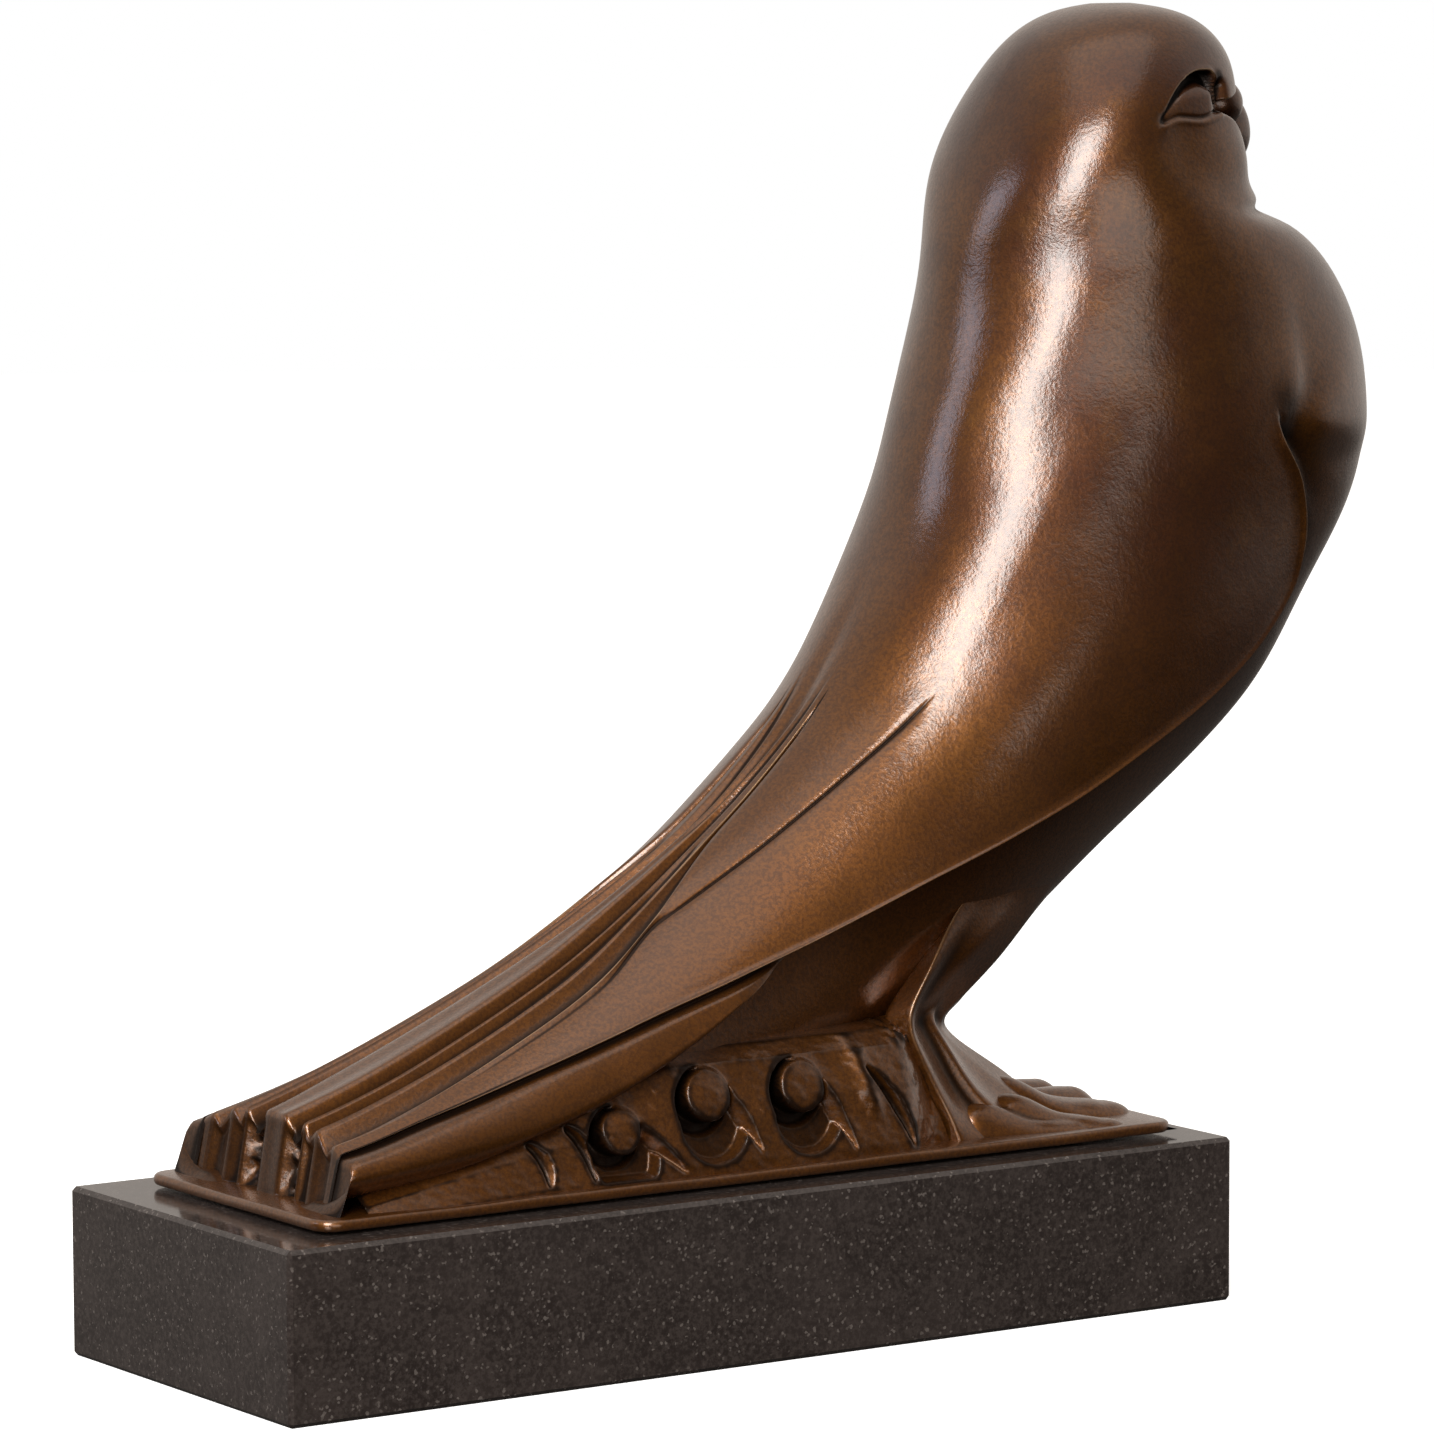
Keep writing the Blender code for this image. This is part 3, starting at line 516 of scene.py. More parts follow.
# Columns of the net between one line and the next, and how each strip bows: over 1 it leaves its first
# line steeply and flattens, under 1 it does so towards its second
STRIP_COLUMNS = (4, 6, 6, 5, 5, 6, 5, 10, 3, 3, 5, 5, 5, 4, 3, 4, 5, 5, 5, 3, 6, 5, 5, 5, 4, 4)
STRIP_BOWS = {1: 1.6, 2: 0.7, 3: 1.5, 4: 0.8, 5: 1.8, 6: 0.8}
ROW_RUNS = ((0.30, 2.0, 24), (2.0, 4.6, 44), (4.6, 12.0, 96), (12.0, TAIL_END, 84))
END_ROWS = 16


def section_point(station, angle, half_width, rise):
    """Place on the section at a station: angle 0 is the back's mid-line, pi the front's."""
    back_x, back_z, front_x, front_z = (station_at(station)[..., i] for i in range(4))
    share = (1 - np.cos(angle)) / 2
    chord = np.hypot(front_x - back_x, front_z - back_z) + 1e-6
    out_along = -np.cos(angle) / (chord / 2)
    out_across = np.sin(angle) / np.maximum(half_width, 1e-6)
    size = np.hypot(out_along, out_across)
    push = rise * out_along / size / chord
    x = back_x + (front_x - back_x) * (share + push)
    z = back_z + (front_z - back_z) * (share + push)
    y = half_width * np.sin(angle) + rise * out_across / size
    return x, y, z


def carving_lines(station):
    """Angle, half-width and rise of every line of the carving at the given stations."""
    wing_half = station_at(station)[..., 4]
    belly_half = station_at(station)[..., 5]
    step = (wing_half - belly_half) * ramp(station, NOTCH_START, NOTCH_FULL)
    flat = np.zeros_like(station)
    lines = [(flat, wing_half, local_curve(MID_RISE, station))]
    for line, rise in ((CENTRE_CREST, CENTRE_CREST_RISE), (CENTRE_VALLEY, CENTRE_VALLEY_RISE),
                       (NARROW_CREST, NARROW_CREST_RISE), (NARROW_VALLEY, NARROW_VALLEY_RISE),
                       (BROAD_CREST, BROAD_CREST_RISE), (FLAP_VALLEY, FLAP_VALLEY_RISE),
                       (FLAP_CREST, FLAP_CREST_RISE)):
        lines.append((local_curve(line, station), wing_half, local_curve(rise, station)))
    cut = local_curve(WING_CUT, station)
    for side, share in ((-1, 0), (0, 1), (1, 0)):
        rise = local_curve(WING_CUT_RISE, station) * share
        lines.append((cut + side * CUT_HALF_ANGLE, wing_half, rise))
    edge = local_curve(WING_EDGE, station)
    start = cut + CUT_HALF_ANGLE
    for share in (0.25, 0.5, 0.75):
        lines.append((start + (edge - start) * share, wing_half, flat))
    lines.append((edge - LIP_ANGLE, wing_half, flat))
    lines.append((edge, wing_half, local_curve(WING_LIP_RISE, station)))
    band = ramp(station, BAND_START, BAND_FULL)
    band_half = wing_half + local_curve(BAND_SPREAD, station)
    wide = 1 + EDGE_STEP_SPREAD * (1 - ramp(station, EDGE_STEP_NARROWS, NOTCH_START))
    narrow = [edge + extra * wide for extra in EDGE_STEP_ANGLES]
    groove_angle = narrow[0] + (edge + BAND_ANGLES[0] - narrow[0]) * band
    crest_angle = narrow[1] + (edge + BAND_ANGLES[1] - narrow[1]) * band
    lowest = np.maximum(local_curve(BAND_FOOT, station), edge + BAND_ANGLES[1] + BAND_LEAST_ANGLE)
    foot_angle = narrow[2] + (lowest - narrow[2]) * band
    root_angle = foot_angle + (EDGE_STEP_ANGLES[3] - EDGE_STEP_ANGLES[2]) * wide
    angles = (groove_angle, crest_angle, (crest_angle + foot_angle) / 2, foot_angle)
    banded = (wing_half - BAND_GROOVE_DEPTH, band_half, band_half, band_half)
    for angle, plain_share, half in zip(angles, EDGE_STEP_SHARES, banded):
        plain_half = wing_half - plain_share * step
        lines.append((angle, plain_half + (half - plain_half) * band, flat))
    belly = wing_half - step
    lines.append((root_angle, belly, flat))
    for share in (1 / 6, 2 / 6, 3 / 6, 4 / 6, 5 / 6, 1):
        lines.append((root_angle + (math.pi - root_angle) * share, belly, flat))
    return [np.stack(part) for part in zip(*lines)]


# The face. The cheeks swell and the temples sink, each round a station and an angle, with its spread along
# both and its height. The throat's fold parts the cheeks from the breast, and the brow sinks at its front
CHEEK = ((3.74, 0.46), (2.33, 0.36), 3.3)
TEMPLE = ((3.45, 0.60), (1.60, 0.26), 1.5)
THROAT, THROAT_SIDE, THROAT_DEPTH = (4.52, 0.15), (1.75, 2.4), 3.0
BROW, BROW_SIDE, BROW_DEPTH = (2.75, 0.35), (2.2, 2.8), 1.4

# The recess round the beak: its edge on the cheek by station, its edge under the brow by angle, its depth
# by station and the width of its walls. It is filled at the mid-plane, where the beak joins the face
RECESS_SIDE = ((2.85, 1.96), (2.98, 1.91), (3.08, 1.95), (3.2, 2.16), (3.45, 2.36), (3.9, 2.50),
               (4.2, 2.48), (4.5, 2.30))
RECESS_TOP = ((1.90, 2.99), (2.1, 2.90), (2.5, 2.74), (3.14, 2.64))
RECESS_DEPTH = ((2.6, 3.0), (3.0, 6.0), (3.9, 5.5), (4.3, 2.5), (4.6, 0.0))
RECESS_WALL = (0.24, 0.11)
RECESS_MIDDLE, RECESS_FILLED = (2.66, 2.92), 0.85

# The soft valley from the shoulder down to the notch where the wing's edge starts, by station, and the pit
# in that notch, with its place along the bird and out from the wing's edge
SHOULDER_VALLEY = ((5.2, 1.98), (6.0, 1.93), (6.6, 1.90), (7.0, 1.84), (7.4, 1.90), (8.2, 2.12))
SHOULDER_VALLEY_DEPTH = ((5.0, 0.0), (6.0, 0.9), (6.7, 2.2), (7.15, 3.4), (7.6, 1.8), (8.4, 0.0))
SHOULDER_VALLEY_WIDTH = ((5.0, 0.30), (6.0, 0.22), (7.0, 0.11), (7.6, 0.11), (8.4, 0.16))
NOTCH_PIT, NOTCH_PIT_OUT, NOTCH_PIT_DEPTH = (7.24, 0.15), (0.05, 0.06), 3.6
WING_WALL = (0.0, 0.02)

# The eye, in drawn lengths: its rear corner, its length and the height of its brow, then curves of height
# above the rear corner along the eye, both as shares of these sizes
EYE_CORNER = (118.9, 241.1)
EYE_LENGTH = 20.3
EYE_HEIGHT = 11.6
EYE_LOWER_LID = ((-0.1, -0.12), (0.05, -0.06), (0.3, 0.06), (0.6, 0.03), (0.9, 0.13), (1.1, 0.24))
EYE_BALL = ((0.0, 0.0), (0.12, 0.20), (0.27, 0.41), (0.5, 0.68), (0.72, 0.78), (0.85, 0.73), (0.96, 0.55))
EYE_BALL_FRONT = 0.955
EYE_FRONT_EDGE = 1.04

# The brow's arch: where it peaks, its height there, where its fall to the front ends and how late it falls
EYE_PEAK, EYE_ARCH, EYE_FALL_END, EYE_FALL_POWER = 0.75, 1.02, 1.02, 6

# Walls of the eye's hollow, as distances below the brow, above the lower lid and behind the front edge,
# and as a share of the length from the rear corner, then the same for the gap round the ball, and last the
# distance inside the ball
EYE_WALLS = ((-0.10, 0.35), (-0.15, 0.4), (0.0, 0.4), (0.0, 0.05))
EYE_GAP_WALLS = ((-0.3, 0.1), (-0.3, 0.1), (-2.6, -1.2), (0.0, 0.05), (0.5, -0.2))

# Depth of the hollow at its two ends and where it deepens, then how far in the ball rounds and how far it
# stays below the face
EYE_DEPTH, EYE_DEEPENS = (1.0, 3.8), (0.05, 0.8)
EYE_BALL_ROUNDING, EYE_BALL_SUNK = 3.4, 0.5

# Height, middle and spread of the lid's crease and of the rims of the lid and the brow, and where along
# the eye the rims start and end
EYE_CREASE = (0.5, 0.55, 0.5)
EYE_LID_RIM = (0.30, -0.7, 0.7)
EYE_BROW_RIM = (0.22, -0.6, 0.6)
EYE_RIM_START, EYE_RIM_END = (-0.10, 0.10), (1.06, 0.96)

# Cut at the eye's front corner, and painted shade there: how much, where along the eye, and where up it
# starts and ends
EYE_FRONT_CUT = (3.0, (1.08, 0.08), (0.1, 0.3), (0.95, 0.65))
EYE_FRONT_SHADE = (0.9, (1.06, 0.09), (0.1, 0.3), (1.15, 0.95))
EYE_STATIONS = (2.0, 3.6)


def patch(station, angle, along, aside, height):
    """Soft swell of a height round a station and an angle."""
    return height * hill(station, *along) * hill(angle, *aside)


def face_rise(station, angle):
    fold = THROAT_DEPTH * hill(station, *THROAT) * ramp(angle, *THROAT_SIDE)
    brow = BROW_DEPTH * hill(station, *BROW) * ramp(angle, *BROW_SIDE)
    in_side = ramp(angle - local_curve(RECESS_SIDE, station), 0, RECESS_WALL[0])
    in_top = ramp(station - local_curve(RECESS_TOP, angle), 0, RECESS_WALL[1])
    filled = 1 - RECESS_FILLED * ramp(angle, *RECESS_MIDDLE)
    recess = local_curve(RECESS_DEPTH, station) * in_side * in_top * filled
    off_line = angle - local_curve(SHOULDER_VALLEY, station)
    width = local_curve(SHOULDER_VALLEY_WIDTH, station)
    valley = local_curve(SHOULDER_VALLEY_DEPTH, station) * hill(off_line, 0, width)
    beyond = angle - local_curve(WING_EDGE, station)
    pit = NOTCH_PIT_DEPTH * hill(station, *NOTCH_PIT) * hill(beyond, *NOTCH_PIT_OUT)
    pit = pit * ramp(beyond, *WING_WALL)
    raised = patch(station, angle, *CHEEK) - patch(station, angle, *TEMPLE)
    return raised - fold - recess - brow - valley * ramp(off_line, -width / 2, 0) - pit


def eye_front(along, height, much, place, start, end):
    return much * hill(along, *place) * ramp(height, *start) * ramp(height, *end)


def eye_rise(x, z):
    """Hollow under the arched brow, with the closed ball of the eye swelling in it above a soft lower lid,
    and how dark its gap is painted, as painted shade."""
    along = (x - EYE_CORNER[0]) / EYE_LENGTH
    height = (z - EYE_CORNER[1]) / EYE_HEIGHT
    held = np.clip(along, 0, EYE_FRONT_EDGE)
    arch = 1 - (1 - np.clip(held / EYE_PEAK, 0, 1)) ** 2
    fall = np.clip((held - EYE_PEAK) / (EYE_FALL_END - EYE_PEAK), 0, 1)
    below_brow = (EYE_ARCH * arch * np.sqrt(1 - fall ** EYE_FALL_POWER) - height) * EYE_HEIGHT
    above_lid = (height - local_curve(EYE_LOWER_LID, along)) * EYE_HEIGHT
    inside = np.minimum((local_curve(EYE_BALL, along) - height) * EYE_HEIGHT,
                        (EYE_BALL_FRONT - along) * EYE_LENGTH)
    reaches = (below_brow, above_lid, (EYE_FRONT_EDGE - along) * EYE_LENGTH, along, inside)
    hollow = math.prod(ramp(reach, *wall) for reach, wall in zip(reaches, EYE_WALLS))
    gap = math.prod(ramp(reach, *wall) for reach, wall in zip(reaches, EYE_GAP_WALLS))
    depth = EYE_DEPTH[0] + (EYE_DEPTH[1] - EYE_DEPTH[0]) * ramp(held, *EYE_DEEPENS)
    ball = (depth - EYE_BALL_SUNK) * np.sqrt(1 - (1 - np.clip(inside / EYE_BALL_ROUNDING, 0, 1)) ** 2)
    near = ramp(along, *EYE_RIM_START) * ramp(along, *EYE_RIM_END)
    rims = swell(above_lid, *EYE_LID_RIM) + swell(below_brow, *EYE_BROW_RIM) * (above_lid > 0)
    sunk = hollow * (depth - ball + swell(above_lid, *EYE_CREASE))
    sunk = sunk + eye_front(along, height, *EYE_FRONT_CUT) * (1 - hollow)
    return rims * near - sunk, np.maximum(gap, eye_front(along, height, *EYE_FRONT_SHADE))


# A slight swell over the whole bird, which breaks up its highlights as on hand-finished metal: its height,
# its wavelength and seed, and the stations over which it fades in and out
HAND_HEIGHT, HAND_RIPPLE = 0.30, (42.0, 21)
HAND_STATIONS = ((0.3, 1.2), (16, 12))

# The tail's end face: the height of its foot, how far that leans out, how much each rib sinks back below
# the end's edge and how soon, and the raw pocket on each side of the mid-plane
END_FLOOR = 2.4
END_LEAN = 3.2
END_SINK, END_SINK_RATE = 0.6, 3.0
POCKET_ROWS = (16.9, 17.02)
POCKET_MIDDLE, POCKET_WALL, POCKET_DEPTH, POCKET_LOWEST = 8.4, (3.6, 2.16), 2.4, 0.9
POCKET_RIPPLE = (2.2, 5)

# Black patina and painted shade in the recesses: how much of it lies under the wing's edge, in and above the
# notch, in the channels of the tail, round the beak, on the tail's end and in its pockets, and where
UNDER_WING, UNDER_WING_START, UNDER_WING_REACH, UNDER_WING_LESS = 0.95, (6.9, 7.3), 0.20, 0.6
NOTCH_SHADE, NOTCH_SHADE_OUT = (7.24, 0.22), (0.05, 0.12)
ABOVE_NOTCH_SHADE = ((6.85, 0.35), (0.08, 0.10), 0.75)
CHANNEL_DEPTHS = (0.6, 6.0)
FACE_SHADE, FACE_DEPTHS, FACE_END = 0.6, (2.0, 6.0), 5
END_SHADE, END_SHADE_DOWN = 0.55, (0.0, 0.1)
POCKET_SHADE, POCKET_SHADE_RIPPLE = 0.92, (0.7, 0.1)


def bird_form(column, row):
    """Place on the bird of a point of its net, and how dark it is painted, with black patina and painted
    shade. Rows past the tail's end run down its end face."""
    station = np.minimum(row, TAIL_END)
    angle, half, rise = carving_lines(station)
    strip = np.clip(np.floor(column), 0, len(STRIP_COLUMNS) - 1).astype(int)
    share = column - strip
    at = np.arange(len(column))
    bow = np.array([STRIP_BOWS.get(i, 1.0) for i in range(len(STRIP_COLUMNS))])[strip]
    falling = rise[strip + 1, at] < rise[strip, at]
    bowed = np.where(falling, 1 - (1 - share) ** bow, share ** (1 / bow))
    angle = angle[strip, at] + (angle[strip + 1, at] - angle[strip, at]) * share
    half = half[strip, at] + (half[strip + 1, at] - half[strip, at]) * share
    rise = rise[strip, at] + (rise[strip + 1, at] - rise[strip, at]) * bowed
    lift = rise + face_rise(station, angle)
    x, y, z = section_point(station, angle, half, lift)
    near_eye = (station > EYE_STATIONS[0]) & (station < EYE_STATIONS[1])
    eye_lift, eye_gap = eye_rise(x, z)
    lift = lift + np.where(near_eye, eye_lift, 0)
    fade = ramp(station, *HAND_STATIONS[0]) * ramp(station, *HAND_STATIONS[1])
    lift = lift + HAND_HEIGHT * ripple(x, y, z, *HAND_RIPPLE) * fade
    x, y, z = section_point(station, angle, half, lift)
    down = np.clip(row - TAIL_END, 0, 1)
    sink = END_SINK * rise * np.sin(np.pi * np.clip(down * END_SINK_RATE, 0, 0.5))
    x = x - down * END_LEAN - sink
    z = z + (np.minimum(z, END_FLOOR) - z) * down
    pocket = ramp(row, *POCKET_ROWS) * ramp(np.abs(y - POCKET_MIDDLE), *POCKET_WALL)
    raw = ripple(np.zeros_like(y), y, z, *POCKET_RIPPLE)
    x = x + pocket * POCKET_DEPTH * np.abs(raw) * (down < POCKET_LOWEST)

    # Painted shade, with the black patina of the recesses, under the wing's edge, in the notch and the
    # channels, round the beak, in the eye's gap and on the tail's end
    beyond = angle - local_curve(WING_EDGE, station)
    past_edge = ramp(beyond, *WING_WALL)
    under_wing = UNDER_WING * ramp(station, *UNDER_WING_START) * past_edge
    under_wing = under_wing * hill(np.maximum(beyond, 0), 0, UNDER_WING_REACH)
    under_wing = under_wing * (1 - UNDER_WING_LESS * ramp(station, BAND_START, BAND_FULL))
    notch = hill(station, *NOTCH_SHADE) * past_edge * hill(beyond, *NOTCH_SHADE_OUT)
    channel = ramp(-rise, *CHANNEL_DEPTHS) * (station < TAIL_END)
    face = FACE_SHADE * ramp(-face_rise(station, angle), *FACE_DEPTHS) * (station < FACE_END)
    recess = np.maximum.reduce((
        under_wing, notch, patch(station, beyond, *ABOVE_NOTCH_SHADE), channel, face,
        np.where(near_eye, eye_gap, 0), END_SHADE * ramp(down, *END_SHADE_DOWN),
        POCKET_SHADE * pocket * ramp(raw, *POCKET_SHADE_RIPPLE)))
    return x, -np.maximum(y, 0), z, recess


# Parts of the bird's net that are split finer: their rows, their columns and the cuts
FINER = (((2.25, 3.35), (12.9, 22.0), 2), ((2.50, 4.60), (22.0, 26.0), 1), ((3.35, 4.60), (19.9, 22.0), 1))
SEAM_MERGE = 2e-6
BIRD_SOFTENING = (2, 0.4)


def bird():
    columns = np.concatenate([i + np.arange(n) / n for i, n in enumerate(STRIP_COLUMNS)]
                             + [[len(STRIP_COLUMNS)]])
    rows = np.concatenate([np.linspace(first, last, count, endpoint=False)
                           for first, last, count in ROW_RUNS] + [TAIL_END + np.linspace(0, 1, END_ROWS)])
    mesh = flat_net(columns, rows)
    for (top, foot), (left, right), cuts in FINER:
        refine(mesh, lambda u, v: top < v < foot and left < u < right, cuts)
    lay(mesh, bird_form)
    mirrored(mesh, SEAM_MERGE)
    close_rims(mesh)
    soften(mesh, *BIRD_SOFTENING)
    return mesh


finished("bird", bird(), "pigeon", BRONZE)

# The beak and the soft swelling at its root, in drawn lengths: centre, radii, how far the tip hooks back and
# how much it narrows
BEAK = ((162.0, 0.0, 237.0), (10.5, 5.2, 11.5), 2.5, 0.25)
CERE = ((161.5, 0.0, 244.5), (7.2, 7.8, 6.8), 0.0, 0.0)


def beak():
    mesh = bmesh.new()
    for centre, radii, hook, narrowing in (BEAK, CERE):
        made = bmesh.ops.create_uvsphere(mesh, u_segments=64, v_segments=48, radius=1.0)
        for vert in made["verts"]:
            low = max(-vert.co.z, 0)
            vert.co = (centre[0] + radii[0] * vert.co.x - hook * low ** 2,
                       centre[1] + radii[1] * vert.co.y * (1 - narrowing * low),
                       centre[2] + radii[2] * vert.co.z)
            vert.co = vert.co * DRAWN_MM + Vector((0, 0, DRAWN_FLOOR))
    return mesh


finished("beak", beak(), "pigeon", BRONZE)

# Legs. Each level has a height and, as x and distance off the mid-plane, the leg's back edge, outer
# ridge, front crease, front swell, front's inner edge and inner side
LEG_LEVELS = (
    (72.0, (86.0, 14.0), (84.0, 22.0), (100.0, 22.0), (114.0, 16.0), (121.0, 8.0), (104.0, 3.0)),
    (58.0, (70.5, 21.0), (67.6, 30.0), (85.0, 28.5), (100.0, 21.0), (109.0, 9.0), (90.0, 3.0)),
    (47.0, (60.2, 22.0), (58.3, 30.0), (73.6, 26.0), (88.0, 20.0), (96.4, 9.0), (78.0, 4.0)),
    (36.5, (50.6, 22.0), (51.5, 30.0), (66.0, 20.8), (77.0, 17.5), (83.9, 9.5), (66.0, 7.0)),
    (31.5, (47.5, 22.5), (50.6, 30.0), (62.8, 20.3), (71.0, 16.5), (78.0, 10.0), (60.0, 8.0)),
    (28.0, (48.2, 23.0), (51.2, 30.2), (63.5, 21.5), (69.0, 16.0), (74.3, 10.0), (60.0, 9.0)),
    (22.5, (50.2, 24.3), (53.6, 30.7), (66.2, 23.5), (73.4, 15.5), (79.0, 10.0), (62.0, 10.0)),
    (14.0, (54.7, 26.5), (57.6, 31.8), (70.5, 26.5), (83.0, 18.0), (92.2, 10.0), (68.0, 10.0)),
    (7.5, (58.6, 29.0), (60.0, 33.5), (76.0, 30.0), (91.0, 22.0), (100.0, 10.0), (74.0, 8.0)),
    (1.0, (60.0, 30.0), (62.0, 34.5), (82.0, 33.0), (99.0, 24.0), (110.0, 10.0), (76.0, 7.0)),
)
LEG_CORNERS = 6
LEG_ROWS = 110
LEG_COLUMNS = 84

# Hollows of the shank's outer and inner side, then as height, corner and spread its ridge, the thigh's
# crease and the painted shade with black patina beside both, and the heights over which shank and thigh fade
# in and out
SHANK_HOLLOW, SHANK_BOW, SHANK_INNER_HOLLOW = 2.4, 1.5, 0.8
SHANK_RIDGE, SHANK_SHADE = (1.4, 2.0, 0.20), (0.75, 1.72, 0.20)
THIGH_CREASE, THIGH_SHADE = (1.6, 1.5, 0.24), (0.65, 1.5, 0.20)
SHANK_FADES, THIGH_FADES = ((37, 29), (2, 9)), ((31, 38), (62, 48))

# Heights and distances off the mid-plane over which the leg grows out of the belly, how far its top lies
# inside the belly, and the stations between which the belly is searched and in how many steps
LEG_MERGES, LEG_MERGE_SIDE, LEG_SINK = (41.0, 65.0), (4, 12), 0.7
BELLY_SEARCH = (8.0, 17.0, 24)

# Toes: heel and tip as x and distance off the mid-plane, half-width, height at heel and at tip. A narrow
# slot parts the outer toes from the middle one
TOES = (
    ((70.0, 27.0), (95.0, 31.5), 6.5, 9.0, 3.6),
    ((82.0, 24.0), (104.0, 33.0), 6.8, 9.5, 3.2),
    ((86.0, 13.5), (113.5, 19.5), 8.0, 12.0, 4.5),
    ((84.0, 6.0), (113.0, 7.0), 7.5, 12.5, 6.0),
)
SLOT = ((84.0, 17.6), (104.5, 26.5), 0.9, 5.0)
FOOT_LOW, FOOT_HIGH = (58.0, 0.6), (122.0, 40.0)
FOOT_STEP = 0.45
FOOT_ROOT = 1.0
KNUCKLE, KNUCKLE_WAVE = 0.12, (2.2, 0.6)
TOE_ROUNDING = 0.55
SLOT_ENDS = ((-0.02, 0.15), (1.1, 0.6))
FOOT_UNEVEN, FOOT_RIPPLE = 0.12, (7.0, 3)
# Painted shade in the slot between the toes and round the foot of the toes, where they meet the plate
SLOT_SHADE, FOOT_SHADE, FOOT_SHADE_HEIGHTS = (0.8, 0, 1.08), 0.6, (1.2, 0.1)
RING_MERGE, LEGS_APART = 1e-6, 1e-8
LEG_SOFTENING, FOOT_SOFTENING = 5, 3


def belly_width(x, z):
    """Distance off the mid-plane of the smooth belly, at places seen from the side."""
    low = np.full(x.shape, BELLY_SEARCH[0])
    high = np.full(x.shape, BELLY_SEARCH[1])
    for _ in range(BELLY_SEARCH[2]):
        middle = (low + high) / 2
        back_x, back_z, front_x, front_z = (station_at(middle)[..., i] for i in range(4))
        under = (front_x - back_x) * (z - back_z) < (front_z - back_z) * (x - back_x)
        low = np.where(under, middle, low)
        high = np.where(under, high, middle)
    reach = (front_x - back_x) ** 2 + (front_z - back_z) ** 2
    share = ((x - back_x) * (front_x - back_x) + (z - back_z) * (front_z - back_z)) / reach
    return station_at(middle)[..., 5] * np.sqrt(np.clip(1 - (1 - 2 * share) ** 2, 0, 1))


def leg_form(column, row):
    levels = np.array([[level[0], *sum(level[1:], ())] for level in LEG_LEVELS])
    read = smooth_curve(range(len(levels)), levels)(row)
    turn = column % LEG_CORNERS
    corner = np.floor(turn).astype(int)
    share = turn - corner
    at = np.arange(len(column))

    def corner_place(which):
        return read[at, 1 + 2 * (which % LEG_CORNERS)], read[at, 2 + 2 * (which % LEG_CORNERS)]

    here, there = corner_place(corner), corner_place(corner + 1)
    x = here[0] + (there[0] - here[0]) * share
    y = here[1] + (there[1] - here[1]) * share
    z = read[:, 0]
    shank = ramp(z, *SHANK_FADES[0]) * ramp(z, *SHANK_FADES[1])
    outer = SHANK_HOLLOW * (corner == 1) * np.sin(math.pi * share ** SHANK_BOW)
    inner = SHANK_INNER_HOLLOW * (corner == 2) * np.sin(math.pi * share)
    y = y + (swell(turn, *SHANK_RIDGE) - outer - inner) * shank
    thigh = ramp(z, *THIGH_FADES[0]) * ramp(z, *THIGH_FADES[1])
    y = y - swell(turn, *THIGH_CREASE) * thigh
    merged = ramp(z, *LEG_MERGES) * ramp(y, *LEG_MERGE_SIDE)
    y = y + (belly_width(x, z) - LEG_SINK - y) * merged
    recess = swell(turn, *SHANK_SHADE) * shank + swell(turn, *THIGH_SHADE) * thigh * (1 - merged)
    return x, -y, z, recess


def toe_height(x, y, heel, tip, half, tall, low):
    """Height of one toe over a place on the plate: a long rounded lump with a steep rim."""
    way = np.array(tip) - np.array(heel)
    length = np.linalg.norm(way)
    way = way / length
    along = (x - heel[0]) * way[0] + (y - heel[1]) * way[1]
    across = -(x - heel[0]) * way[1] + (y - heel[1]) * way[0]
    past = np.maximum(along - length, 0) - np.minimum(along, 0)
    off = np.hypot(across, past) / half
    share = np.clip(along / length, 0, 1)
    knuckle = 1 + KNUCKLE * np.sin(share * math.pi * KNUCKLE_WAVE[0] + KNUCKLE_WAVE[1])
    crown = (tall + (low - tall) * share) * knuckle
    return crown * np.clip(1 - off ** 2, 0, 1) ** TOE_ROUNDING


def foot_form(x, y):
    height = np.zeros_like(x)
    for toe in TOES:
        height = np.maximum(height, toe_height(x, y, *toe))
    share, off = along_line(x, y, *SLOT[0], *SLOT[1])
    ends = ramp(share, *SLOT_ENDS[0]) * ramp(share, *SLOT_ENDS[1])
    height = np.maximum(height - SLOT[3] * hill(off, 0, SLOT[2]) * ends, 0)
    height = height + FOOT_UNEVEN * ripple(x, y, np.zeros_like(x), *FOOT_RIPPLE) * (height > 1)
    recess = np.maximum(swell(off, *SLOT_SHADE) * ends, FOOT_SHADE * ramp(height, *FOOT_SHADE_HEIGHTS))
    return x, -y, FOOT_ROOT + height, recess


def legs():
    columns = np.linspace(0, LEG_CORNERS, LEG_COLUMNS + 1)
    mesh = flat_net(columns, np.linspace(0, len(LEG_LEVELS) - 1, LEG_ROWS))
    lay(mesh, leg_form)
    bmesh.ops.remove_doubles(mesh, verts=mesh.verts[:], dist=RING_MERGE)
    soften(mesh, LEG_SOFTENING)
    close_rims(mesh)
    foot = flat_net(*[np.arange(low, high, FOOT_STEP) for low, high in zip(FOOT_LOW, FOOT_HIGH)])
    lay(foot, foot_form)
    soften(foot, FOOT_SOFTENING)
    close_rims(foot)
    data = bpy.data.meshes.new("foot")
    foot.to_mesh(data)
    foot.free()
    mesh.from_mesh(data)
    bpy.data.meshes.remove(data)
    mirrored(mesh, LEGS_APART)
    return mesh


finished("legs_and_feet", legs(), "pigeon", BRONZE)

